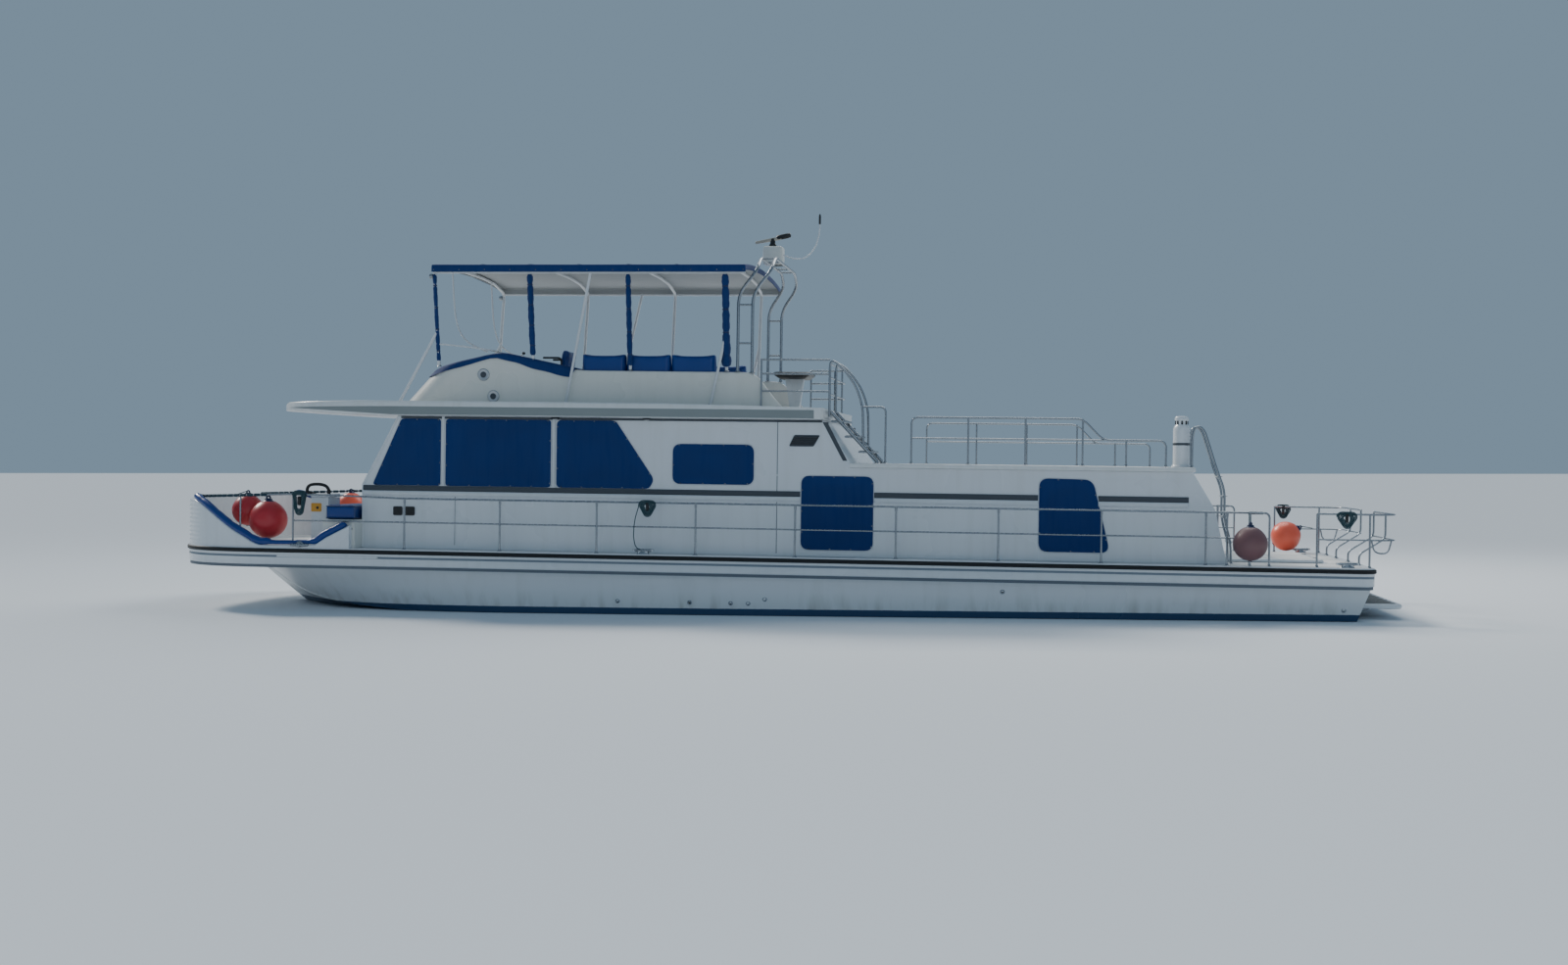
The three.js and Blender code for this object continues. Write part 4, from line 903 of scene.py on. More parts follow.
def build_bolsters():
    xs = [7.33 - 0.028 * i for i in range(81)]
    route = [Vector((x, half_width(x, 0.042), bulwark_top(x) + BOLSTER_R + 0.003)) for x in xs]
    far, radii = 0.0, []
    for i, p in enumerate(route):
        far += (p - route[i - 1]).length if i else 0
        off = abs((far + SEAM_PITCH / 2) % SEAM_PITCH - SEAM_PITCH / 2)
        ends = min(i, len(route) - 1 - i)
        cap = (0.25, 0.72, 0.93, 1)[min(ends, 3)]
        cap *= 1 - 0.38 * min(max(p.x - 5.50, 0), max(6.16 - p.x, 0), 0.1) / 0.1
        radii.append(BOLSTER_R * cap * (1 - 0.14 * math.exp(-((off / 0.02) ** 2))))
    for side, word in SIDES:
        line = [Vector((p.x, p.y * side, p.z - BOLSTER_R + min(r + 0.004, BOLSTER_R)))
                for p, r in zip(route, radii)]
        roll = piece("bolster_" + word, shaped(pipe(line, radii, 24)), VINYL, "vinyl",
                     replaces=["bow_bolster_" + word], smooth=60)


def blown(made, cap, cell, frames=20, pressure=4.0, steps=1):
    """A padded shape: its cover is remeshed, blown up as cloth and held to a greatest swell."""
    pad = new_object("pad", new_mesh("pad", *made))
    remesh = pad.modifiers.new("remesh", "REMESH")
    remesh.mode, remesh.voxel_size = "VOXEL", cell
    start = taken(pad, keep=True)
    pad.modifiers.clear()
    pad.data = start
    rest = [v.co.copy() for v in start.vertices]
    cloth = pad.modifiers.new("cloth", "CLOTH")
    cloth.settings.use_pressure = True
    cloth.settings.uniform_pressure_force = pressure
    cloth.settings.effector_weights.gravity = 0
    cloth.settings.quality = 4
    cloth.point_cache.frame_start, cloth.point_cache.frame_end = 1, frames
    scene = bpy.context.scene
    for frame_number in range(1, frames + 1):
        scene.frame_set(frame_number)
    swollen = pad.evaluated_get(bpy.context.evaluated_depsgraph_get())
    blown_out = [v.co.copy() for v in swollen.data.vertices]
    pad.modifiers.clear()
    for vertex, a, b in zip(start.vertices, rest, blown_out):
        shift = b - a
        vertex.co = a + shift * min(1, cap / max(shift.length, 1e-6))
    subdivide = pad.modifiers.new("soften", "SUBSURF")
    subdivide.levels = subdivide.render_levels = steps
    made = taken(pad)
    scene.frame_set(1)
    return made


def taken(obj, keep=False):
    """The object's mesh with its modifiers applied; the object goes unless it is kept."""
    bpy.context.view_layer.update()
    mesh = bpy.data.meshes.new_from_object(obj.evaluated_get(bpy.context.evaluated_depsgraph_get()))
    if not keep:
        bpy.data.objects.remove(obj)
    return mesh


def soft_piece(name, mesh, replaces=()):
    """A padded piece in the upholstery from a mesh of the level layout."""
    mesh.materials.clear()
    finished(name, mesh, VINYL, "vinyl", replaces=replaces)


def welt(low, high, z, r=0.006):
    """Piping round a cushion's seam at height z."""
    line = rounded_outline(oblong(low[0], low[1], high[0], high[1]), 0.05)
    return loop([Vector((p.x, p.y, z)) for p in line], r, UP)


def build_bow_seat():
    low, high = (5.04, 0.935, BENCH_TOP + 0.016), (5.42, 1.985, 1.282)
    mesh = blown(block(low, high), 0.016, 0.014)
    soft_piece("bow_cushion", mesh, ["bow_seat_cushion"])
    welts = [welt(low, high, z) for z in (BENCH_TOP + 0.018, 1.278)]
    piece("bow_cushion_piping", shaped(*welts), PIPING, "vinyl")


LOCKER_LID = "foredeck_locker_lid"


def build_locker():
    aft, fore, inner, outer = 5.475, 5.705, 1.33, 1.74
    top, lid = 1.38, 1.43
    face = outer + CLEAR
    panel = plate(rounded_outline(oblong(5.50, 0.80, 5.68, 1.33), 0.03), face, face + 0.004)
    piece("locker_panel", shaped(panel), GEL, "gelcoat", bevel=0.002)
    line = rounded_outline(oblong(5.565, 1.20, 5.704, 1.31), 0.015)
    latch = shaped(plate(line, face + 0.003, face + 0.011))
    button = [(0.018, 0), (0.018, 0.006), (0.012, 0.010)]
    latch.add(turned(button, (5.617, face + 0.010, 1.25), (0, 1, 0), 16), 1)
    piece("locker_latch", latch, [AMBER, BLACK], "bronze", bevel=0.002)
    line = rounded_outline(oblong(aft - 0.01, inner - 0.01, fore + 0.01, outer + 0.01), 0.03)
    shape = shaped(stepped(line, ((0.006, top + 0.005), (0, top + 0.010), (0, lid - 0.014),
                                  (0.004, lid - 0.004), (0.014, lid), (0.06, lid + 0.001))))
    hoop = [(fore - 0.015, lid - 0.002), (fore + 0.09, lid + 0.02), (fore + 0.06, lid + 0.115), (5.64, lid + 0.128),
            (5.53, lid + 0.11), (aft + 0.01, lid + 0.05), (aft + 0.015, lid - 0.002)]
    shape.add(bent(at_y(hoop, 1.69), 0.021, 0.06, 14), 1)
    for x in (fore - 0.015, aft + 0.015):
        shape.add(turned([(0.026, 0), (0.026, 0.006), (0.018, 0.012)], (x, 1.69, lid), (0, 0, 1), 16), 1)
    piece("locker_lid_cover", shape, [GEL, RUBBER], "gelcoat", body=LOCKER_LID,
          replaces=[LOCKER_LID])


# Cabin: mouldings, windows and covers

FORWARD_WINDOWS = [
    # corners (x, z) and corner radius
    ([(4.86, 1.57), (4.49, 2.405), (3.985, 2.405), (3.985, 1.57)], 0.03),
    (oblong(3.895, 1.57, 2.535, 2.405), 0.03),
    ([(2.435, 1.57), (2.435, 2.405), (1.69, 2.405), (1.195, 1.68), (1.25, 1.57)], 0.05),
    (oblong(0.93, 1.64, -0.08, 2.12), 0.09),
]
AFT_WINDOWS = [
    (oblong(-0.71, 0.84, -1.59, 1.74), 0.09),
    ([(-3.66, 0.87), (-3.66, 1.75), (-4.29, 1.74), (-4.50, 0.87)], 0.10),
]
COVER_HEM = 0.012
SNAP_PITCH = 0.26


def spread(outline, step):
    """A closed outline with points no further apart than the step."""
    out = []
    for a, b in zip(outline, outline[1:] + outline[:1]):
        count = max(1, math.ceil((Vector(b) - Vector(a)).length / step))
        out += [Vector(a).lerp(Vector(b), i / count) for i in range(count)]
    return out


def cover_rings(outline, place):
    """Rings of a hemmed cloth panel; place turns (a, b, lift) into a point."""
    centre = sum((Vector(p) for p in outline), Vector((0, 0))) / len(outline)
    rows = [(1.0, 0.0), (1.0, 0.004), (0.992, 0.0055), (0.975, 0.0045), (0.968, 0.0030), (0.93, 0.0042),
            (0.84, 0.0060), (0.70, 0.0085), (0.55, 0.0105), (0.40, 0.0115), (0.25, 0.0120), (0.10, 0.0122)]
    rings = []
    for share, lift in rows:
        ring = []
        for p in outline:
            q = centre + (Vector(p) - centre) * share
            crease = math.sin(7.3 * q[0] + 4.1 * q[1]) * math.sin(5.7 * q[1] - 2.9 * q[0])
            wave = 0.0016 * crease * min(1, (1 - share) * 8)
            ring.append(place(q[0], q[1], lift + wave))
        rings.append(ring)
    return rings


def build_covers():
    routes = []
    for side, word in SIDES:
        frames = Shape()
        for n, (corners, radius) in enumerate(FORWARD_WINDOWS + AFT_WINDOWS):
            line = rounded_outline(corners, radius)
            grown = spread(inset(line, -COVER_HEM), 0.06)
            face = side * (CABIN + 0.002)
            rings = cover_rings(grown, lambda a, b, lift: (a, face + side * lift, b))
            cover = piece(f"window_cover_{word}_{n + 1}", shaped(loft(rings)), CANVAS, "canvas", smooth=60)
            xs, zs = [p[0] for p in grown], [p[1] for p in grown]
            max(xs) - min(xs)
            max(zs) - min(zs)
            rim = spread(inset(line, -0.020), 0.08)
            route = [Vector((p[0], side * (CABIN + 0.001), p[1])) for p in rim]
            frames.add(loop(route, 0.006, Vector((0, side, 0)), 8, 1.1))
            snaps = inset(line, -0.001)
            routes.append([LEVEL @ Vector((p[0], side * (CABIN + 0.0075), p[1])) for p in snaps + snaps[:1]])
        piece("window_rims_" + word, frames, TUBE, "gelcoat")
    for n, (side, _) in enumerate(SIDES):
        corners = [(side * 0.46, 1.61), (side * 1.66, 1.61), (side * 1.66, 2.42), (side * 0.46, 2.42)]
        grown = spread(rounded_outline(corners, 0.04), 0.06)
        out = Vector((1, 0, WINDSHIELD_LEAN)).normalized()

        def place(y, z, lift):
            return Vector((CABIN_FRONT - (z - SILL) * WINDSHIELD_LEAN, y, z)) + out * (lift + 0.002)

        shape = shaped(loft(cover_rings(grown, place)))
        cover = piece(f"windshield_cover_{n + 1}", shape, CANVAS, "canvas", smooth=60)
        snaps = inset(grown, 0.014)
        routes.append([LEVEL @ place(p[0], p[1], 0.0055) for p in snaps + snaps[:1]])
    for side, word in SIDES:
        own = [r for r in routes if r[0].y * side > 0 and abs(abs(r[0].y) - CABIN) < 0.02]
        repeated("cover_snaps_" + word, own, SNAP_PITCH, STEEL, facing=(0, side, 0),
                 foot=0.009, top=0.0055, height=0.004)
    fore = [r for r in routes if abs(abs(r[0].y) - CABIN) >= 0.02]
    repeated("cover_snaps_front", fore, SNAP_PITCH, STEEL, facing=(1, 0, 0.5),
             foot=0.009, top=0.0055, height=0.004)


def repeat_tree():
    """Small turned studs or pins set out along lines at an even pitch."""
    tree = bpy.data.node_groups.new("set out along a line", "GeometryNodeTree")
    face = tree.interface
    face.new_socket("Line", in_out="INPUT", socket_type="NodeSocketGeometry")
    for name, value in (("Pitch", 0.1), ("Foot", 0.01), ("Top", 0.01), ("Height", 0.01)):
        face.new_socket(name, in_out="INPUT", socket_type="NodeSocketFloat").default_value = value
    for name, kind in (("Facing", "Vector"), ("Follow", "Bool"), ("Finish", "Material")):
        face.new_socket(name, in_out="INPUT", socket_type="NodeSocket" + kind)
    face.new_socket("Pieces", in_out="OUTPUT", socket_type="NodeSocketGeometry")
    given, out = tree.nodes.new("NodeGroupInput").outputs, tree.nodes.new("NodeGroupOutput")

    def step(kind, inputs=None, **settings):
        return node(tree, kind, inputs, **settings).outputs[0]

    curve = step("GeometryNodeMeshToCurve", {"Mesh": given["Line"]})
    points = step("GeometryNodeResampleCurve", {"Curve": curve, "Length": given["Pitch"]}, mode="LENGTH")
    stud = step("GeometryNodeMeshCone", {"Vertices": 10, "Radius Bottom": given["Foot"],
                                         "Radius Top": given["Top"], "Depth": given["Height"]})
    tangent = step("GeometryNodeInputTangent")
    way = step("GeometryNodeSwitch", {"Switch": given["Follow"], "False": given["Facing"], "True": tangent},
               input_type="VECTOR")
    turn = step("FunctionNodeAlignRotationToVector", {"Vector": way}, axis="Z")
    placed = step("GeometryNodeInstanceOnPoints", {"Points": points, "Instance": stud, "Rotation": turn})
    real = step("GeometryNodeRealizeInstances", {"Geometry": placed})
    paint = step("GeometryNodeSetMaterial", {"Geometry": real, "Material": given["Finish"]})
    tree.links.new(paint, out.inputs["Pieces"])
    return tree


REPEAT = repeat_tree()


def repeated(name, routes, pitch, finish, facing=(0, 0, 1), foot=0.01, top=0.01, height=0.01,
             follow=False, body=BOAT):
    """Studs along routes that are already placed in the tilted boat."""
    mesh = bpy.data.meshes.new(name + "_lines")
    points, edges = [], []
    for route in routes:
        start = len(points)
        points += [tuple(p) for p in route]
        edges += [(i, i + 1) for i in range(start, len(points) - 1)]
    mesh.from_pydata(points, edges, [])
    obj = new_object(name, mesh)
    modifier = obj.modifiers.new("repeat", "NODES")
    modifier.node_group = REPEAT
    names = {s.name: s.identifier for s in REPEAT.interface.items_tree if s.item_type == "SOCKET"}
    for key, value in (("Pitch", pitch), ("Foot", foot), ("Top", top), ("Height", height),
                       ("Facing", facing), ("Follow", follow), ("Finish", finish)):
        modifier[names[key]] = value
    made = taken(obj, keep=True)
    obj.modifiers.clear()
    obj.data = made
    made.shade_smooth()
    made.set_sharp_from_angle(angle=math.radians(40))
    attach(obj, body)
    return obj


LEDGE = [(0.0, 1.555, 1), (0.010, 1.555, 1), (0.013, 1.549, 1), (0.013, 1.496, 1), (0.010, 1.490, 1),
         (0.014, 1.486, 0), (0.026, 1.478, 0), (0.028, 1.462, 0), (0.023, 1.44, 0), (0.012, 1.424, 0),
         (0, 1.418, 0)]


def ledge_strip(x0, x1):
    """The moulded ledge below the windows: a dark band in its groove over a rounded white nosing."""
    ends = ((x0, 0.15), (x0 - 0.01, 0.8), (x0 - 0.025, 1), (x1 + 0.025, 1), (x1 + 0.01, 0.8), (x1, 0.15))
    return loft([[(x, CABIN + CLEAR + row[0] * grow, row[1]) for row in LEDGE] for x, grow in ends])


def build_cabin_trim():
    ledge, trim, mullions, lamps = Shape(), Shape(), Shape(), Shape()
    for x0, x1 in ((5.012, -0.688), (-1.606, -3.640), (-4.365, -5.455)):
        ledge.add(ledge_strip(x0, x1), [row[2] for row in LEDGE])
    pair("window_ledge_", ledge, [GEL, DARK_TRIM_AND_SHADE], "gelcoat", smooth=50)
    face = CABIN + CLEAR

    def strip(outline, low, high, mark=0):
        trim.add(plate(outline, face + low, face + high), mark)

    z = 1.755
    for x0, x1 in ((-0.60, -0.30), (-1.66, -3.60), (-4.36, -5.5)):
        strip([(x0, z - 0.008), (x0, z + 0.008), (x1, z + 0.007), (x1, z - 0.007)], 0, 0.004)
    strip(oblong(3.753, 0.80, 3.797, 1.43), 0, 0.006)
    strip(oblong(3.772, 0.80, 3.778, 1.43), 0.005, 0.0075, 1)
    strip(oblong(-0.394, 0.76, -0.386, 2.44), -0.001, 0.0015, 1)
    strip(oblong(CABIN_FRONT - 0.02, 0.75, -5.88, 0.775), 0, 0.006)
    for x0, x1 in ((4.475, 4.595), (4.31, 4.455)):
        strip(rounded_outline(oblong(x0, 1.17, x1, 1.285), 0.02), 0, 0.014, 2)
        for k in range(5):
            z = 1.188 + k * 0.02
            strip(oblong(x0 + 0.012, z, x1 - 0.012, z + 0.008), 0.012, 0.019, 2)
    # A dark strip down the sloped aft edge of the cabin side: painted shade where the side turns aft
    strip([(-0.955, 2.425), (-1.215, 1.945), (-1.270, 1.945), (-1.030, 2.400), (-1.030, 2.425)], 0, 0.003, 1)
    louvre = [(-0.60, 2.262), (-0.925, 2.262), (-0.845, 2.118), (-0.535, 2.118)]
    strip(rounded_outline(louvre, 0.02), 0, 0.008, 1)
    strip(rounded_outline(inset(louvre, 0.018), 0.012), 0.006, 0.010, 2)
    for k in range(5):
        z = 2.140 + k * 0.024
        shift = (z - 2.118) / 0.144
        slat = ((0.006, z), (0.018, z - 0.004), (0.019, z + 0.001), (0.006, z + 0.010))
        ends = (-0.555 - 0.06 * shift, -0.835 - 0.075 * shift)
        trim.add(loft([[(x, face + y, h) for y, h in slat] for x in ends]), 1)
    pair("cabin_trim_", trim, [GEL, DARK_TRIM_AND_SHADE, BLACK], "gelcoat")
    for side, word in SIDES:
        x, y = CABIN_FRONT - 0.01, side * (CABIN - 0.004)
        post = pipe([(x, y, 0.76), (x, y, SILL), (WINDSHIELD_TOP_X - 0.012, y, EAVE)], 0.016, 10)
        piece("windshield_post_" + word, shaped(post), GEL, "gelcoat")
        y = side * (CABIN + 0.004)
        for x in (3.94, 2.485):
            mullions.add(pipe([(x, y, 1.558), (x, y, 2.446)], 0.021, 14))
            mullions.add(block((x - 0.03, y - 0.012, 1.556), (x + 0.03, y + 0.024, 1.574)))
        y = side * 1.752
        # A dark tube just under the eave: painted shadow of the roof's overhang
        mullions.add(pipe([(4.50, y, 2.433), (ROOF_AFT + 0.02, y, 2.433)], 0.0135, 10), 1)
    piece("window_mullions_and_eave_shade", mullions, [TUBE, DARK_TRIM_AND_SHADE], "gelcoat")
    for x in (1.272, 2.453):
        base = [(0.05, 0), (0.05, 0.012), (0.040, 0.020), (0.018, 0.026)]
        lamps.add(turned(base, (x, 1.82, EAVE + CLEAR), (0, 0, -1), 20))
        lens = [(0.034, 0), (0.028, 0.008), (0.002, 0.010)]
        lamps.add(turned(lens, (x, 1.82, EAVE - 0.020), (0, 0, -1), 16), 1)
    piece("eave_lamps", lamps.doubled(), [BLACK, LAMP], "black_metal")


WINDSHIELD_LEAN = (CABIN_FRONT - WINDSHIELD_TOP_X) / (EAVE - SILL)
DOOR_BACK = [(-5.5, AFT_EAVE), (-5.77, 1.41), (-5.92, DECK)]


def back_at(z):
    """Where the aft cabin's bent back is at a height."""
    (x0, z0), (x1, z1) = DOOR_BACK[:2] if z > 1.41 else DOOR_BACK[1:]
    return x0 + (x1 - x0) * (z0 - z) / (z0 - z1)


def door_frame(body, line, half, off, thick):
    """Aluminium stiles and rails round a bent glass door."""
    shape = Shape()

    def member(line, y0, y1, proud, back):
        section = ((off + proud, y0), (off + proud, y1), (off - thick - back, y1), (off - thick - back, y0))
        shape.add(loft([[(x + d, y, z) for d, y in section] for x, z in line]))

    member(line, -half - 0.001, -half + 0.045, 0.0025, 0.004)
    member(line, half - 0.045, half + 0.001, 0.0025, 0.004)
    for (x, z), (x2, z2) in ((line[0], line[1]), (line[-1], line[-2])):
        u = 0.06 / math.hypot(x2 - x, z2 - z)
        member([(x, z), (x + (x2 - x) * u, z + (z2 - z) * u)], -half, half, 0.0015, 0.003)
    piece(body + "_frame", shape, ALLOY, "stainless", body=body, bevel=0.002)


def build_doors():
    top = WINDSHIELD_TOP_X + (EAVE - 2.40) * WINDSHIELD_LEAN
    front = [(CABIN_FRONT, DECK + 0.01), (CABIN_FRONT, SILL), (top, 2.40)]
    door_frame("front_door", front, 0.43, -0.054, 0.026)
    back = [(back_at(DECK + 0.01), DECK + 0.01), (-5.77, 1.41), (back_at(1.825), 1.825)]
    door_frame("aft_door", back, 0.38, 0.074, 0.026)
    pull = shaped(block((4.955, 0.394, 1.06), (4.9646, 0.420, 1.26)))
    piece("front_door_pull", pull, BLACK, "black_metal", body="front_door")
    route = [(back_at(1.15) + x, 0.335, z) for x, z in ((0.050, 1.05), (0.028, 1.05), (0.076, 1.24), (0.096, 1.24))]
    piece("aft_door_pull", shaped(bent(route, 0.007, 0.02, 10)), BLACK, "black_metal", body="aft_door")
    back, frames = CABIN_FRONT - 0.001, Shape()
    for y in (-0.408, 0.408):
        frames.add(block((back, y - 0.012, DECK + 0.045), (CABIN_FRONT + 0.012, y + 0.012, SILL - 0.02)))
    frames.add(block((back, -0.42, DECK + 0.02), (CABIN_FRONT + 0.02, 0.42, DECK + 0.045)))
    piece("front_doorway_trim", frames, ALLOY, "stainless", bevel=0.002)


# Roofs

def slab(line, low, high, rows):
    """A rounded slab on a plan that mirrors itself: rows are (inset, share of the height)."""
    count, rings = len(line), []
    for distance, share in rows:
        rings.append([(x, y, low(x) + (high(x) - low(x)) * share) for x, y in inset(line, distance)])
    points, faces = loft(rings, caps=False)
    top = (len(rows) - 1) * count
    for i in range(count // 2 - 1):
        j = count - 1 - i
        faces.append((i, j, j - 1, i + 1))
        faces.append((top + i, top + i + 1, top + j - 1, top + j))
    return points, faces


SLAB_ROWS = [(0.16, 0.0), (0.15, 0.02), (0.03, 0.02), (0.008, 0.06), (0.0, 0.16), (0.0, 0.70), (0.004, 0.82),
             (0.014, 0.91), (0.032, 0.97), (0.06, 1.0)]
LIP_ROWS = SLAB_ROWS[:6] + [(0.0, 1.12), (0.006, 1.23), (0.020, 1.29), (0.040, 1.27), (0.058, 1.12), (0.075, 1.0)]


def fascia_shade_strip(route):
    """A band of painted shade under the roof's lip along one side; it thins out towards the bow."""
    rings = []
    for p, t in zip(route, tangents(route)):
        out = Vector((-t.y, t.x, 0)).normalized()
        share = min(max((p.x - 4.6) / 1.6, 0), 1)
        low, high = 2.466 + 0.087 * share, 2.572 - 0.015 * share
        section = ((-0.006, low), (0.0018, low + 0.001), (0.0018, high - 0.001), (-0.006, high))
        rings.append([p + out * o + Vector((0, 0, z)) for o, z in section])
    return loft(rings)


CORNER_TURNS = (0, 0.4, 0.8, 1.2, math.pi / 2)


def build_roofs():
    power, tip, start, half = 2 / 2.6, 6.5, 4.7, 1.9
    arc = []
    for i in range(61):
        t = math.pi * (0.5 - i / 60)
        arc.append(Vector((start + (tip - start) * max(math.cos(t), 0) ** power,
                           half * math.copysign(abs(math.sin(t)) ** power, t))))
    port = [Vector((ROOF_AFT + 0.08 * (1 - math.cos(a)), half - 0.08 * (1 - math.sin(a)))) for a in CORNER_TURNS]
    port += [Vector((x, half)) for x in (1.0, 3.0)]
    line = port + arc[:31]
    line += across(reversed(port + arc[:30]))
    under = [(6.52, 2.520), (4.9, EAVE), (-2, EAVE)]
    over = [(6.52, 2.565), (6.2, ROOF), (-2, ROOF)]
    points, faces = slab(line, lambda x: on_line(under, x), lambda x: on_line(over, x), LIP_ROWS)
    for p in points:
        if p.z > ROOF:
            p.z = ROOF + (p.z - ROOF) * min(max((p.x + 0.9) / 0.3, 0), 1)
    route = [Vector((x, half, 0)) for x in (-0.86, 1.0, 3.0, 4.6)]
    route += [Vector((p.x, p.y, 0)) for p in arc[:31] if 4.75 < p.x < 6.2]
    # The dark side bands are painted shade under the roof's lip
    shade_bands = shaped(fascia_shade_strip(route)).doubled()
    shape = shaped((points, faces)).add((shade_bands.points, shade_bands.faces), 1)
    piece("main_roof_slab", shape, [GEL_ROOF, FASCIA_SHADE], "gelcoat", replaces=["main_roof"], smooth=40)
    port = [Vector((-1.3003, 1.8)), Vector((-3.3, 1.8))]
    port += [Vector((-5.54 + 0.12 * (1 - math.sin(a)), 1.8 - 0.12 * (1 - math.cos(a)))) for a in CORNER_TURNS]
    line = port + across(reversed(port))
    rows = [(d * 0.5, s) for d, s in SLAB_ROWS]
    made = slab(line, lambda x: AFT_EAVE, lambda x: AFT_ROOF, rows)
    piece("aft_roof_slab", shaped(made), GEL_ROOF, "gelcoat", replaces=["aft_cabin_roof"], smooth=40)


# Flybridge: cowl, console, helm seat, lounges and table

COWL_TOP = [(5.2, 2.853), (4.24, 3.08), (3.31, 3.285), (2.26, 3.07), (-0.04, 3.06), (-0.39, ROOF), (-1, ROOF)]
COWL_HALF = 1.4
COWL_AFT = -0.385
COWL_CORNER = 0.42
COWL_LINE = [(p.x, p.y) for p in rounded(COWL_TOP, 0.12, 8)]


def cowl_front(z):
    return 4.70 - (z - ROOF) * 0.9172


def cowl_point(station, z, gap):
    """Plan point of the cowl at a height: station is (kind, value) from the port aft end to the front."""
    kind, value = station
    half, radius = COWL_HALF - gap, COWL_CORNER - gap
    front = cowl_front(z) - gap * 1.2
    turn = front - radius
    if kind == "side":
        return COWL_AFT + (turn - COWL_AFT) * value, half
    if kind == "corner":
        return turn + radius * math.sin(value), half - radius + radius * math.cos(value)
    return front, (half - radius) * (1 - value)


def cowl_at(station, z, gap):
    return Vector((*cowl_point(station, z, gap), z))


def cowl_stations():
    stations = [("side", i / 44) for i in range(45)]
    stations += [("corner", math.pi / 2 * i / 8) for i in range(1, 9)]
    stations += [("front", i / 4) for i in range(1, 5)]
    return stations


def cowl_height(station, gap=0.0):
    z = 3.0
    for _ in range(14):
        z = 0.5 * (z + on_line(COWL_LINE, cowl_point(station, z, gap)[0]))
    return z


def build_cowl():
    rings = []
    for station in cowl_stations():
        top = cowl_height(station)
        tall = top - ROOF
        lip = min(0.03, tall * 0.3)
        rows = [(0, ROOF + CLEAR + (tall - lip) * k / 8) for k in range(9)]
        rows += [(gap, top - lip * share) for gap, share in (
            (0.004, 0.45), (0.012, 0.12), (0.022, 0), (0.044, 0), (0.054, 0.15), (0.06, 0.6))]
        rows += [(0.06, top - lip - (tall - lip) * k / 4 + CLEAR) for k in range(5)]
        rings.append([cowl_at(station, z, gap) for gap, z in rows])
    rings += [across(ring) for ring in reversed(rings[:-1])]
    piece("cowl_shell", shaped(loft(rings)), GEL_WARM, "gelcoat", replaces=["flybridge_cowl"], smooth=50)
    trim = Shape()
    for x, z in ((3.523, 3.004), (3.389, 2.725)):
        place = (x, COWL_HALF + CLEAR, z)
        trim.add(turned([(0.080, 0), (0.080, 0.008), (0.070, 0.016), (0.052, 0.014)], place, (0, 1, 0)))
        trim.add(turned([(0.054, 0.0), (0.050, 0.010), (0.030, 0.018), (0.004, 0.021)], place, (0, 1, 0)), 1)
    trim.add(block((-0.34, 1.35, ROOF), (4.2, 1.41, ROOF + 0.012)), 2)
    piece("cowl_lamps", trim.doubled(), [ALLOY, DARK_TRIM_AND_SHADE, GEL_WARM], "gelcoat", bevel=0.002)


def build_coaming_cover():
    """Canvas laid over the front and shoulders of the coaming, its hem hanging on both faces."""
    stations = [s for s in cowl_stations() if cowl_point(s, 3.0, 0)[0] > 2.28]
    section = [
        # gap from the outer face, share of the hang below the top
        (-0.016, -1.0), (-0.017, -0.75), (-0.015, -0.5), (-0.016, -0.25), (-0.010, -0.04), (0.004, 0.017),
        (0.03, 0.020), (0.056, 0.017), (0.072, -0.04), (0.077, -0.3), (0.078, -0.6), (0.079, -1.0),
    ]
    rings = []
    for n, station in enumerate(stations):
        top = cowl_height(station)
        from_peak = abs(cowl_point(station, top, 0)[0] - 3.31)
        hang = 0.050 + 0.052 * min(from_peak / 0.7, 1) + 0.006 * math.sin(n * 1.3)
        line = []
        for gap, drop in section:
            z = top + (drop * hang if drop < 0 else drop)
            line.append(cowl_at(station, z, gap + 0.0015 * math.sin(n * 2.1 + drop * 5)))
        under = []
        for gap, drop in reversed(section):
            z = top + (drop * hang if drop < 0 else drop - 0.004)
            shift = 0.004 if gap < 0.03 else -0.004
            under.append(cowl_at(station, z, gap + (0 if 0 < gap < 0.06 else shift)))
        rings.append(line + under)
    rings += [across(ring) for ring in reversed(rings[:-1])]
    cover = piece("coaming_cover", shaped(loft(rings)), CANVAS, "canvas", smooth=60)
    length = sum((b[6] - a[6]).length for a, b in zip(rings, rings[1:]))


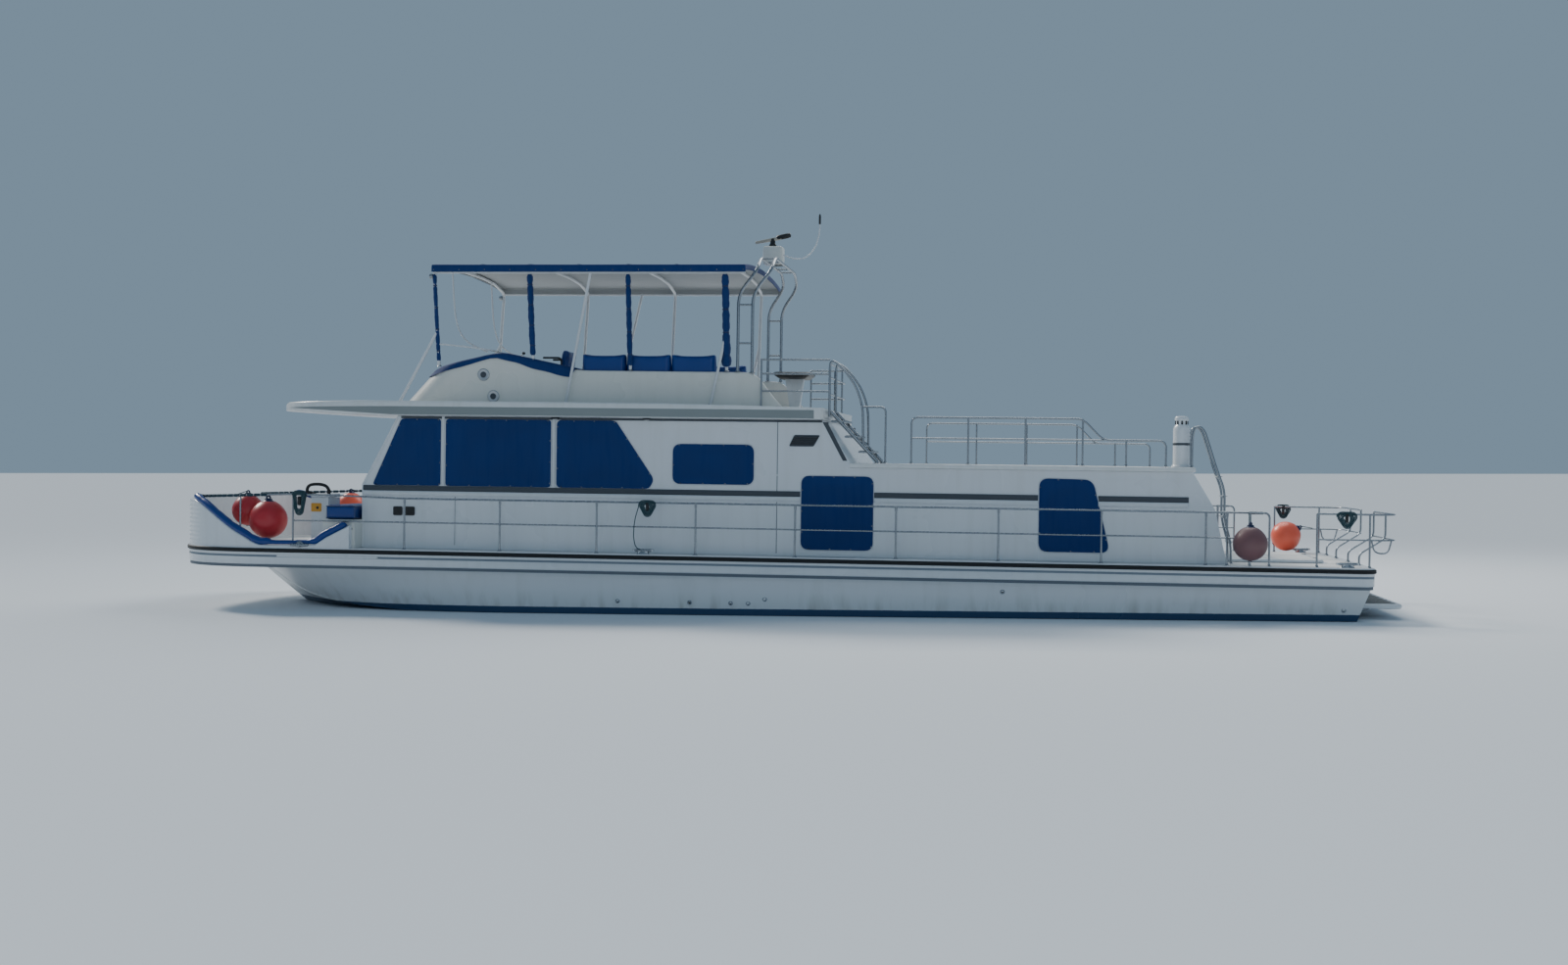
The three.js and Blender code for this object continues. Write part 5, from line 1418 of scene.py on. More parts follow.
def build_console():
    outline = [(4.085, 2.602), (4.085, 3.055), (3.6, 3.225), (3.402, 3.195), (3.295, 2.96), (3.425, 2.602)]
    piece("console_shell", shaped(plate(outline, -0.85, 0.85)), GEL_WARM, "gelcoat",
          replaces=["helm_console"], bevel=0.018)
    low, high = Vector((3.302, 0, 2.985)), Vector((3.394, 0, 3.180))
    up, tall = (high - low).normalized(), (high - low).length
    place = Matrix(((0, up.x, -up.z, low.x), (1, up.y, 0, low.y), (0, up.z, up.x, low.z), (0, 0, 0, 1)))
    shape = Shape()

    def fit(made, mark=0):
        shape.add(moved(made, place), mark)

    fit(plate(rounded_outline(oblong(-0.08, 0, 0.80, tall), 0.03), 0.0, 0.006, "XY"))
    z = tall * 0.66
    for y, r in ((0.02, 0.036), (0.12, 0.036), (0.24, 0.05), (0.56, 0.05), (0.68, 0.036), (0.76, 0.036)):
        fit(turned([(r, 0), (r, 0.010), (r * 0.86, 0.013), (r * 0.82, 0.008)], (y, z, 0.005), sides=20), 1)
        fit(turned([(r * 0.83, 0), (r * 0.83, 0.0095)], (y, z, 0.005), sides=20), 2)
        fit(block((y - 0.002, z, 0.0145), (y + 0.002, z + r * 0.6, 0.016)), 3)
    for y in (-0.02, 0.03, 0.08, 0.13, 0.18):
        fit(block((y - 0.009, 0.035, 0.005), (y + 0.009, 0.06, 0.014)), 2)
    piece("console_panel", shape, [DARK_TREAD, STEEL, BLACK, TUBE], "black_metal")
    shape = shaped(block((3.43, -0.20, 3.192), (3.55, -0.08, 3.232)))
    for y in (-0.17, -0.11):
        shape.add(bent([(3.49, y, 3.22), (3.47, y, 3.30), (3.42, y, 3.37)], 0.006, 0.03, 8), 1)
        shape.add(ball((3.418, y, 3.375), 0.017, 8, 12))
    shape.add(plate([(3.60, 3.205), (3.74, 3.18), (3.76, 3.30), (3.66, 3.32)], 0.28, 0.52))
    piece("console_levers", shape, [BLACK, STEEL], "black_metal", bevel=0.004)


def build_wheel():
    tilt = math.atan2(0.110, 0.240)
    matrix = Matrix.Translation((3.345 - 0.11 * math.cos(tilt), 0.4, 3.08 + 0.11 * math.sin(tilt))) \
        @ Matrix.Rotation(-math.pi / 2 + tilt, 4, "Y")
    r = 0.19
    shape = Shape()
    shape.add(loop(circle((0, 0, 0), r, 48), 0.0145, UP, 12))
    hub = [(0.036, -0.025), (0.038, -0.02), (0.038, 0.012), (0.030, 0.022), (0.006, 0.026)]
    shape.add(turned(hub, (0, 0, 0)))
    shape.add(turned([(0.020, -0.100), (0.020, -0.02)], (0, 0, 0), sides=14), 1)
    for degrees in (90, 210, 330):
        a = math.radians(degrees)
        way = Vector((math.cos(a), math.sin(a), 0))
        for k in (-0.0084, 0.0084):
            off = Vector((-math.sin(a), math.cos(a), 0)) * k
            shape.add(pipe([way * 0.03 + off, way * r + off * 1.4], 0.0062, 8), 1)
    shape.points = [matrix @ p for p in shape.points]
    piece("wheel_rim_and_spokes", shape, [BLACK, STEEL], "black_metal", body="steering_wheel",
          replaces=["steering_wheel"])


def build_helm_seat():
    x, y = 2.83, 0.4
    profile = [(0.15, ROOF + 0.001), (0.15, ROOF + 0.014), (0.13, ROOF + 0.022), (0.058, ROOF + 0.03),
               (0.050, ROOF + 0.05), (0.050, 2.86), (0.038, 2.87), (0.038, 2.985)]
    shape = shaped(turned(profile, (x, y, 0)))
    shape.add(block((x - 0.16, y - 0.16, 2.975), (x + 0.16, y + 0.16, 2.992)), 0)
    for way in (1, -1):
        out = y + way * 0.262
        arm = [(x - 0.15, y + way * 0.235, 3.07), (x - 0.15, out, 3.27), (x + 0.1, out, 3.27)]
        shape.add(bent(arm, 0.013, 0.05, 10), 1)
    piece("helm_seat_stand", shape, [STEEL, BLACK], "stainless", replaces=["helm_seat"], bevel=0.003)
    seat = blown(block((x - 0.19, y - 0.235, 3.005), (x + 0.195, y + 0.235, 3.10)), 0.02, 0.016)
    soft_piece("helm_seat_cushion", seat)
    slab = plate([(2.7, 3.115), (2.63, 3.115), (2.595, 3.375), (2.665, 3.38)], y - 0.225, y + 0.225)
    back = blown(slab, 0.016, 0.016)
    soft_piece("helm_seat_back", back)


def copies(mesh, offsets, flip=False):
    """One mesh of several moved copies of another, or of their mirror images."""
    bm = bmesh.new()
    for offset in offsets:
        one = mesh.copy()
        one.transform(Matrix.Translation(offset))
        if flip:
            one.transform(Matrix.Diagonal((1, -1, 1, 1)))
            one.flip_normals()
        bm.from_mesh(one)
        bpy.data.meshes.remove(one)
    made = bpy.data.meshes.new("pads")
    bm.to_mesh(made)
    bm.free()
    return made


def build_lounges():
    run, gap = (2.24 - 0.48) / 3, 0.001
    offsets = [(i * run, 0, 0) for i in range(3)]
    seat = blown(block((0.48 + gap, 0.67, 2.90), (0.48 + run - gap, 1.185, 3.015)), 0.018, 0.018)
    slab = plate([(1.195, 3.02), (1.215, 3.275), (1.32, 3.285), (1.325, 2.95)], 0.48 + gap, 0.48 + run - gap, "YZ")
    back = blown(slab, 0.018, 0.018)
    for side, word in SIDES:
        soft_piece("lounge_seat_pads_" + word, copies(seat, offsets, side < 0), ["lounge_seat_" + word])
        soft_piece("lounge_back_pads_" + word, copies(back, offsets, side < 0))
        shape = Shape()

        def box(x0, x1, y0, y1, z0, z1, mark=0):
            y0, y1 = sorted((side * y0, side * y1))
            shape.add(block((x0, y0, z0), (x1, y1, z1)), mark)

        box(0.49, 2.23, 0.67, 1.335, ROOF + 0.07, 2.885)
        box(0.50, 2.22, 0.72, 1.335, ROOF + CLEAR, ROOF + 0.08, 1)
        for i in range(3):
            x, y = 0.55 + i * run, (0.671 if side > 0 else -0.675)
            shape.add(block((x, y - 0.007, 2.70), (x + 0.44, y + 0.007, 2.85)))
            knob = [(0.014, 0), (0.014, 0.008), (0.008, 0.012)]
            shape.add(turned(knob, (x + 0.22, side * 0.664, 2.82), (0, -side, 0), 12), 2)
        box(0.49, 2.23, 1.322, 1.335, 2.88, 2.95)
        piece("lounge_base_" + word, shape, [GEL_WARM, DARK_TRIM_AND_SHADE, STEEL], "gelcoat", bevel=0.008)


def build_table():
    line = rounded_outline(oblong(-0.118, -0.35, -0.62, 0.35), 0.10)
    rows = ((0.08, 3.034), (0.02, 3.07), (0.003, 3.088), (0, 3.098), (0.004, 3.112), (0.014, 3.119))
    shape = shaped(stepped(line, rows))
    shape.add(stepped(line, ((0.03, 3.116), (0.03, 3.1215))), 1)
    foot = [(-0.25, 3.04), (-0.32, ROOF + 0.02), (-0.44, ROOF + 0.02), (-0.50, 3.04)]
    shape.add(plate(foot, -0.06, 0.06), 2)
    shape.add(block((-0.47, -0.10, ROOF + CLEAR), (-0.29, 0.10, ROOF + 0.022)), 2)
    piece("table_top_and_foot", shape, [BLACK, DARK_TREAD, GEL], "gelcoat",
          replaces=["flybridge_table"], bevel=0.004)


# Sun canopy and its frame

CANOPY_FORE, CANOPY_AFT = 4.158, 0.062
CANOPY_HALF, CANOPY_EDGE, CANOPY_SHOULDER, CANOPY_CROWN = 1.65, 4.316, 4.412, 0.08
HOOPS = (4.13, 2.87, 1.585, 0.33)
HOOP_Y, HOOP_EDGE = 1.612, 4.325


def canopy_z(y):
    return CANOPY_SHOULDER + CANOPY_CROWN * (1 - (y / CANOPY_HALF) ** 2)


def cloth_sag(x, y):
    """How far the cloth hangs between two hoops."""
    span = next(((b, a) for a, b in zip(HOOPS, HOOPS[1:]) if b <= x <= a), None)
    share = (x - span[0]) / (span[1] - span[0]) if span else 0
    return 0.010 * math.sin(math.pi * share) * (1 - (y / CANOPY_HALF) ** 4)


def canopy_ring(outer_x, inner_x, drop=0, wave=0.0):
    half = CANOPY_HALF
    outer = [(half, CANOPY_EDGE), (half + wave, 4.350), (half, 4.392), (half - 0.006, 4.406)]
    outer += [(y, canopy_z(y) - cloth_sag(outer_x, y)) for y in (half * (1 - i / 12) for i in range(1, 13))]
    outer += [(-y, z) for y, z in reversed(outer[:-1])]
    inner = [(y - math.copysign(0.005, y), z - (0.005 if z > 4.38 else 0)) if abs(y) > 1.6 else (y, z - 0.005)
             for y, z in outer]
    return [Vector((x, y, max(z - drop, CANOPY_EDGE)))
            for x, line in ((outer_x, outer), (inner_x, reversed(inner))) for y, z in line]


def build_canopy():
    ends = [(0.0, 0.005, 0.068), (0.0005, 0.005, 0.045), (0.0, 0.005, 0.020), (0.001, 0.0055, 0.006),
            (0.006, 0.007, 0.0)]
    rings = [canopy_ring(CANOPY_FORE - a, CANOPY_FORE - b, drop) for a, b, drop in ends]
    count = 64
    for i in range(1, count):
        x = CANOPY_FORE - 0.02 + (CANOPY_AFT - CANOPY_FORE + 0.04) * i / count
        rings.append(canopy_ring(x, x, wave=0.002 * math.sin(x * 9)))
    rings += [canopy_ring(CANOPY_AFT + a, CANOPY_AFT + b, drop) for a, b, drop in reversed(ends)]
    points, faces = loft(rings)
    ring = len(rings[0])
    marks = [0 if (k % ring) < ring // 2 or k >= (len(rings) - 1) * ring else 1 for k in range(len(faces))]
    shape = Shape().add((points, faces), marks)
    top = piece("canopy_cloth", shape, [CANVAS, LINING], "canvas", replaces=["bimini_canopy"], smooth=50)
    seams = Shape()
    for x in (3.5, 2.87, 2.23, 1.585, 0.96):
        ys = [CANOPY_HALF * 0.985 * (1 - i / 16) for i in range(33)]
        seams.add(tape([Vector((x, y, canopy_z(y) - cloth_sag(x, y) + 0.0008)) for y in ys], 0.012, 0.0016))
    piece("canopy_seams", seams, CANVAS, "canvas")
    for side, word in SIDES:
        edge = [LEVEL @ Vector((x, side * (CANOPY_HALF + 0.0025), 4.343))
                for x in (CANOPY_AFT + 0.03, CANOPY_FORE - 0.03)]
        repeated("valance_snaps_" + word, [edge], 0.33, STEEL, facing=(0, side, 0),
                 foot=0.008, top=0.005, height=0.004)


def tape(line, wide, thick):
    """A thin tape laid along a line that runs across the boat."""
    rings = []
    for p in line:
        rings.append([p + Vector((a, 0, b)) for a, b in ((-wide, 0), (-wide, thick), (wide, thick), (wide, 0))])
    return loft(rings)


def leg_point(x, z):
    """A place on the port leg of the hoop at x."""
    foot = on_line(COWL_LINE, x) + 0.0083
    inner = COWL_HALF - 0.03
    return Vector((x, inner + (HOOP_Y - inner) * (z - foot) / (HOOP_EDGE - foot), z))


def hoop_z(y):
    return canopy_z(y) - 0.036


def build_frame():
    shape, feet = Shape(), Shape()
    socket = [(0.032, -0.006), (0.032, 0.002), (0.021, 0.010), (0.020, 0.05)]
    for x in HOOPS:
        foot = leg_point(x, on_line(COWL_LINE, x) + 0.012)
        half = [foot, leg_point(x, HOOP_EDGE), (x, 1.1, hoop_z(1.1)), (x, 0.5, hoop_z(0.5))]
        shape.add(bent(half + across(reversed(half)), 0.0205, 0.09))
        for side, _ in SIDES:
            feet.add(turned(socket, on_side([foot], side)[0], (0, side * 0.12, 1), 14))
    y, z = HOOP_Y - 0.016, HOOP_EDGE - 0.014
    shoe = [(0.030, 0), (0.030, 0.008), (0.018, 0.016), (0.016, 0.05)]
    curved = [(4.115, hoop_z(0.9) - 0.01), (4.07, 3.72), (3.93, 3.46), (3.62, 3.33)]
    end_cap = [(0.03, 0), (0.034, 0.02), (0.03, 0.045), (0.008, 0.05)]
    for side, _ in SIDES:
        shape.add(pipe(on_side([(CANOPY_FORE - 0.008, y, z), (CANOPY_AFT + 0.008, y, z)], side), 0.0138))
        for x, top in ((4.65, leg_point(4.13, 3.56)), (2.42, (2.07, y, HOOP_EDGE)), (0.53, leg_point(0.33, 3.55))):
            shape.add(pipe(on_side([(x, 1.45, ROOF + 0.004), top], side), 0.018))
            feet.add(turned(shoe, (x, side * 1.45, ROOF + 0.001), sides=14))
        brace = [(4.150, 1.44, 3.402), (3.80, 1.36, 3.372), (3.464, 1.30, 3.330)]
        shape.add(pipe(on_side(brace, side), 0.011, 10))
        shape.add(bent(at_y(curved, side * 0.9), 0.010, 0.30, 10))
        feet.add(turned(end_cap, (4.15, side * 1.6, 4.262), (1, 0, 0), 14))
    bar_ends = [(3.464, 1.30, 3.330), (3.464, 0.6, 3.322)]
    shape.add(pipe(bar_ends + across(reversed(bar_ends)), 0.011, 10))
    piece("canopy_hoops", shape, TUBE, "white_tube", replaces=["bimini_frame"])
    piece("canopy_feet", feet, STEEL, "stainless")


CURTAINS = ((4.13, 0.026, 0.0), (2.87, 0.038, 0.0), (1.585, 0.034, 0.0), (0.33, 0.046, 0.022))
TIES = (0.12, 0.37, 0.62, 0.87)


def build_sleeves():
    """Side curtains rolled up and tied round the posts on the port side."""
    ties, count, sides = Shape(), 60, 20
    for n, (x, thick, fat) in enumerate(CURTAINS):
        low, high = on_line(COWL_LINE, x) + 0.07, HOOP_EDGE - 0.035
        line = [leg_point(x, low + (high - low) * i / count) for i in range(count + 1)]
        radii = []
        for i in range(count + 1):
            share = i / count
            tie = min(abs(share - t) for t in TIES) * (high - low)
            pinch = 1 - 0.22 * math.exp(-((tie / 0.03) ** 2))
            wave = 1 + 0.05 * math.sin(i * 0.9 + n) + 0.03 * math.sin(i * 2.3)
            cap = (0.55, 0.85, 1)[min(i, count - i, 2)]
            radii.append((thick + fat * max(1 - share * 3.2, 0)) * pinch * wave * cap)
        points, faces = pipe(line, radii, sides)
        for k, p in enumerate(points):
            fold = 0.10 * math.cos(6 * math.pi * (k % sides) / sides + k // sides * 0.05 + n)
            points[k] = line[k // sides].lerp(p, 1 + fold)
        sleeve = piece(f"rolled_curtain_{n + 1}", shaped((points, faces)), CANVAS, "canvas", smooth=70)
        for t in TIES:
            ring = circle(leg_point(x, low + (high - low) * t), thick * 0.86, 20)
            ties.add(loop(ring, 0.0045, UP, 8, 2.2))
    piece("curtain_ties", ties, PIPING, "canvas")


# Tubes: arch, rails, stair and ladders

def flange(shape, x, y, z, r=RAIL_R):
    """Round base of a post that stands on a surface at height z."""
    rows = [(r * 2.5, 0), (r * 2.5, 0.004), (r * 1.5, 0.010), (r * 1.35, 0.026)]
    shape.add(turned(rows, (x, y, z + CLEAR), sides=14))


def post(shape, x, y, low, high, r=RAIL_R):
    """An upright tube on its round base."""
    shape.add(pipe([(x, y, low + 0.001), (x, y, high)], r))
    flange(shape, x, y, low)


def build_arch():
    shape = Shape()
    fore, pitch, lean, foot, top, r = 0.190, 0.185, 0.230, 1.370, 4.560, 0.02
    for x in (fore, fore - pitch):
        base = on_line(COWL_LINE, x) + 0.01
        half = [(x, foot, base), (x, foot, 4.06), (x - lean, 1.29, 4.38), (x - lean, 1.0, top)]
        shape.add(bent(half + across(reversed(half)), r, 0.15, 14))
        for y in (foot, -foot):
            flange(shape, x, y, base - 0.0085, r * 0.8)
    rungs = [(fore, y, z) for z in (3.43, 3.92) for y in (foot, -foot)]
    rungs += [(fore - lean, y, top) for y in (-0.9, -0.45, 0, 0.45, 0.9)]
    for x, y, z in rungs:
        shape.add(pipe([(x, y, z), (x - pitch, y, z)], 0.012))
    piece("arch_tubes", shape, STEEL, "stainless", replaces=["radar_arch"])
    line = rounded_outline(oblong(-0.20, -0.12, 0.07, 0.12), 0.04)
    rows = ((0.012, 4.572), (0, 4.585), (0, 4.785), (0.008, 4.805), (0.03, 4.818))
    shape = shaped(stepped(line, rows))
    shape.add(turned([(0.05, 4.815), (0.05, 4.84), (0.035, 4.86), (0.03, 4.93)], (-0.05, 0, 0)), 1)
    bar_line = [(0.185, 4.855), (0.185, 4.887), (-0.17, 4.962), (-0.17, 4.915)]
    shape.add(plate(bar_line, -0.024, 0.024), 2)
    horn = [(0.020, 0), (0.034, 0.02), (0.036, 0.14), (0.030, 0.19), (0.004, 0.20)]
    shape.add(turned(horn, (-0.10, 0, 4.935), (-0.98, 0, 0.2), 20), 1)
    piece("masthead_lamp", shape, [GEL_WARM, BLACK, AMBER_GREY], "white_tube", bevel=0.006)
    route = [(-0.20, 4.70), (-0.36, 4.64), (-0.52, 4.66), (-0.64, 4.80), (-0.69, 5.0), (-0.69, 5.12)]
    shape = shaped(bent(at_y(route, 0.06), 0.009, 0.09))
    tip = [(0.012, 5.11), (0.015, 5.12), (0.015, 5.215), (0.009, 5.245)]
    shape.add(turned(tip, (-0.69, 0.06, 0), sides=14), 1)
    piece("aerial_mast", shape, [TUBE, BLACK], "stainless")


FLY_RAILS = (3.22, 3.04, 2.82)


def build_fly_rail():
    shape, back = Shape(), ROOF_AFT + 0.06
    for z in FLY_RAILS:
        shape.add(bent([(back, 0.56, z), (back, -1.45, z), (-0.42, -1.45, z)], RAIL_R))
        for x, y in ((back, 0.56), (-0.42, -1.45)):
            shape.add(ball((x, y, z), RAIL_R * 1.1, 6, 12))
    for x, y in ((back, 0.56), (back, -0.22), (back, -1.0), (-0.76, -1.45), (-0.42, -1.45)):
        post(shape, x, y, ROOF, FLY_RAILS[0])
    piece("flybridge_tubes", shape, STEEL, "stainless", replaces=["flybridge_rail"])


def build_stair():
    outer, inner, foot, head, top, rail = 1.45, 0.70, -1.62, -1.02, 2.57, -1.005
    shape = Shape()
    for y in (outer, inner):
        shape.add(pipe([(foot, y, AFT_ROOF + 0.022), (head, y, top)], 0.0235))
        route = [(-1.44, 2.13), (-1.43, 2.62), (-1.345, 2.88), (-1.21, 3.07), (-1.1, 3.18), (rail, 3.22),
                 (rail, 2.5)]
        shape.add(bent(at_y(route, y), 0.0155))
        flange(shape, foot, y, AFT_ROOF, 0.018)
    for i in range(3):
        share = (i + 0.75) / 3.4
        x, z = foot + (head - foot) * share, AFT_ROOF + (top - AFT_ROOF) * share
        shape.add(block((x - 0.09, inner, z - 0.014), (x + 0.11, outer, z + 0.008)))
        shape.add(block((x - 0.08, inner + 0.03, z + 0.008), (x + 0.10, outer - 0.03, z + 0.014)), 1)
    shape.add(pipe([(-1.44, inner, 2.135), (-1.44, outer, 2.135)], 0.014))
    guard = [(-1.43, outer, 2.63), (-1.72, outer, 2.63), (-1.72, outer, AFT_ROOF + 0.001)]
    shape.add(bent(guard, RAIL_R, 0.08))
    flange(shape, -1.72, outer, AFT_ROOF)
    shape.add(pipe([(rail, inner - 0.014, 2.56), (rail, outer + 0.014, 2.56)], 0.016))
    for z in FLY_RAILS:
        shape.add(pipe([(rail, outer, z), (-0.13, outer, z)], RAIL_R))
    post(shape, -0.13, outer, ROOF, FLY_RAILS[0])
    shape.add(ball((-0.13, outer, 3.22), RAIL_R * 1.1, 6, 12))
    piece("stair_tubes", shape, [STEEL, DARK_TREAD], "stainless", replaces=["roof_stair"], bevel=0.002)


def build_sundeck():
    foot = AFT_ROOF + 0.001
    route = [(-2.06, foot), (-2.06, 2.5), (-4.17, 2.5), (-4.42, 2.24), (-5.18, 2.24), (-5.18, foot)]
    for side, word in SIDES:
        shape, y = Shape(), side * 1.65
        shape.add(bent(at_y(route, y), RAIL_R, 0.09))
        shape.add(pipe([(-2.06, y, 2.24), (-4.43, y, 2.24)], 0.010, 10))
        for x, top in ((-2.765, 2.5), (-3.47, 2.5), (-4.17, 2.5), (-4.7, 2.24)):
            post(shape, x, y, AFT_ROOF, top)
        for x in (-2.06, -5.18):
            flange(shape, x, y, AFT_ROOF)
        piece("sundeck_tubes_" + word, shape, STEEL, "stainless", replaces=["sundeck_rail_" + word])
    x, y = -5.38, 1.43
    profile = [(0.120, 1.9205), (0.120, 1.936), (0.114, 1.944), (0.104, 1.950), (0.102, 1.97), (0.102, 2.385),
               (0.096, 2.415), (0.078, 2.440), (0.070, 2.452), (0.070, 2.488), (0.074, 2.494), (0.084, 2.500),
               (0.086, 2.508), (0.084, 2.530), (0.074, 2.545), (0.03, 2.5518)]
    shape = shaped(turned(profile, (x, y, 0), sides=36))
    shape.add(turned([(0.104, 2.19), (0.106, 2.195), (0.106, 2.215), (0.104, 2.22)], (x, y, 0), sides=36), 1)
    for a in ring_angles(8):
        rib = (x + 0.0695 * math.cos(a), y + 0.0695 * math.sin(a), 0)
        shape.add(turned([(0.012, 2.448), (0.012, 2.490)], rib, sides=8), 2)
    piece("vent_post", shape, [GEL, DARK_TRIM_AND_SHADE, BLACK], "gelcoat", replaces=["sundeck_vent"])


def build_ladder():
    shape = Shape()
    route = [(-5.5, AFT_ROOF + 0.001), (-5.5, 2.3), (-5.54, 2.43), (-5.64, 2.40), (-5.80, 1.90), (-5.90, 1.64),
             (-5.90, 1.30), (-5.98, 1.0), (-5.985, DECK + 0.001)]
    for y in (1.56, 1.18):
        shape.add(bent(at_y(route, y), 0.015, 0.11))
        flange(shape, -5.5, y, AFT_ROOF)
        flange(shape, -5.985, y, DECK)
    for x, z in ((-5.980, 1.0), (-5.902, 1.31), (-5.9, 1.56), (-5.838, 1.80)):
        shape.add(pipe([(x, 1.18, z), (x, 1.56, z)], 0.013))
        shape.add(block((x - 0.035, 1.195, z + 0.008), (x + 0.035, 1.545, z + 0.018)), 1)
    piece("ladder_tubes", shape, [STEEL, TREAD], "stainless", replaces=["aft_ladder"])


SIDE_POSTS = (4.35, 3.10, 1.85, 0.59, -0.66, -1.91, -3.16, -4.40, -5.64, -5.89)


def bow_rail_line(side):
    """The top rail round the bow and aft along the side, as points of its centre."""
    line = []
    for i in range(25):
        x = 7.54 + (5.83 - 7.54) * i / 24
        line.append(Vector((x, side * half_width(x, 0.098), 1.365 + 0.06 * min(max((7.6 - x) / 1.7, 0), 1))))
    return line


def build_side_rails():
    for side, word in SIDES:
        shape, y = Shape(), side * RAIL_Y
        line = bow_rail_line(side) + [Vector(c) for c in ((5.1, y, 1.415), (4.38, y, 1.392), (-6.0, y, RAIL_TOP))]
        end = rounded([(-6.0, y, RAIL_TOP), (RAIL_END, y, RAIL_TOP), (RAIL_END, y, DECK + 0.001)], 0.07, 8)
        shape.add(pipe(line + end[1:], RAIL_R))
        shape.add(pipe([(5.83, y, RAIL_MID + 0.01), (RAIL_END, y, RAIL_MID)], 0.010, 10))
        for x in SIDE_POSTS:
            post(shape, x, y, DECK, RAIL_TOP)
            collar = [(RAIL_R * 1.28, RAIL_TOP - 0.05), (RAIL_R * 1.28, RAIL_TOP - 0.01)]
            shape.add(turned(collar, (x, y, 0), sides=12))
            shape.add(ball((x, y, RAIL_MID), 0.0165, 8, 12))
        flange(shape, RAIL_END, y, DECK)
        post(shape, -6.156, y, DECK, RAIL_TOP, 0.017)
        shape.add(pipe([(-6.14, y, RAIL_TOP), (-6.31, y, RAIL_TOP)], 0.019, 14))
        for x in (6.55, 5.83):
            at, low = side * half_width(x, 0.098), bulwark_top(x) + 0.001
            shape.add(pipe([(x, at, low), (x, at, 1.415)], RAIL_R))
            flange(shape, x, at, low - CLEAR)
        at = side * half_width(7.54, 0.098)
        shape.add(pipe([(7.54, at, 1.3455), (7.54, at, 1.366)], RAIL_R, 10))
        piece("side_rail_tubes_" + word, shape, STEEL, "stainless", replaces=["side_rail_" + word])


def build_stern_rails():
    fore, aft, inner = -6.94, -7.86, 0.48
    foot, shape, y = STERN + 0.07, Shape(), RAIL_Y
    for z, r in ((RAIL_TOP, RAIL_R), (RAIL_MID, 0.010)):
        shape.add(bent([(fore, y, z), (aft, y, z), (aft, inner, z)], r, 0.2))
    for x in (fore, foot):
        post(shape, x, y, DECK, RAIL_TOP)
    for at in (inner, 1.3):
        route = [(foot, DECK + 0.001), (foot, 0.88), (aft, RAIL_MID), (aft, RAIL_TOP)]
        shape.add(bent(at_y(route, at), RAIL_R, 0.06))
        flange(shape, foot, at, DECK)
    route = [(STERN + 0.05, RAIL_MID), (STERN + 0.02, 0.93), (STERN - 0.14, 0.92), (STERN - 0.18, RAIL_MID)]
    shape.add(bent(at_y(route, y), 0.010, 0.07, 10))
    for x, at in ((fore, y), (aft, inner)):
        shape.add(ball((x, at, RAIL_TOP), RAIL_R * 1.15, 8, 12))
    pair("stern_rail_tubes_", shape, STEEL, "stainless", "stern_rail_")


# Running gear, engines and their hatch

PROP_X, PROP_Y, PROP_R = -6.75, 0.62, 0.25
RUDDER_X = -7.13
SHAFT_RAKE = math.radians(11)


def shaft_point(t, side):
    """A point of a propeller shaft, t ahead of the propeller's middle."""
    z = afloat(PROP_X, -0.65)
    return Vector((PROP_X + t * math.cos(SHAFT_RAKE), side * PROP_Y, z + t * math.sin(SHAFT_RAKE)))


def build_propellers():
    for side, word in SIDES:
        centre = shaft_point(0, side)
        axis = (shaft_point(1, side) - centre).normalized()
        turn = UP.rotation_difference(axis).to_matrix().to_4x4()
        place = Matrix.Translation(centre) @ turn
        shape = Shape()
        hub = [(0.010, -0.130), (0.022, -0.118), (0.026, -0.10), (0.030, -0.092), (0.044, -0.088), (0.048, -0.06),
               (0.048, 0.06), (0.044, 0.088), (0.02, 0.09)]
        shape.add(moved(turned(hub, (0, 0, 0), sides=28), place))
        for k in range(4):
            rings = []
            for i in range(15):
                r = 0.036 + (PROP_R - 0.038) * i / 14
                share = (r - 0.036) / (PROP_R - 0.036)
                wide = 0.052 + 0.125 * math.sin(math.pi * min(share * 1.02, 1) ** 0.85) * 0.92
                wide *= (1, 0.98, 0.9, 0.72, 0.30)[max(i - 10, 0)]
                angle = math.atan2(0.052, r) * 0.9 + 0.10
                thick = 0.0065 * (1 - share) + 0.0022
                ring = []
                for c, t in ((-1, 0), (-0.6, 0.8), (0, 1), (0.6, 0.8), (1, 0), (0.6, -0.8), (0, -1), (-0.6, -0.8)):
                    along = c * wide / 2
                    x = along * math.cos(angle)
                    z = along * math.sin(angle) + t * thick
                    bend = x / r
                    ring.append(Vector((r * math.sin(bend), r * math.cos(bend), z)))
                rings.append([Matrix.Rotation(k * math.pi / 2, 4, "Z") @ p for p in ring])
            shape.add(moved(loft(rings), place))
        shape.add(pipe([shaft_point(0.08, side), shaft_point(1.08, side)], 0.0188, 16), 1)
        piece("propeller_blades_" + word, shape, [BRONZE, STEEL], "bronze", body="propeller_" + word,
              replaces=["propeller_" + word], smooth=40)


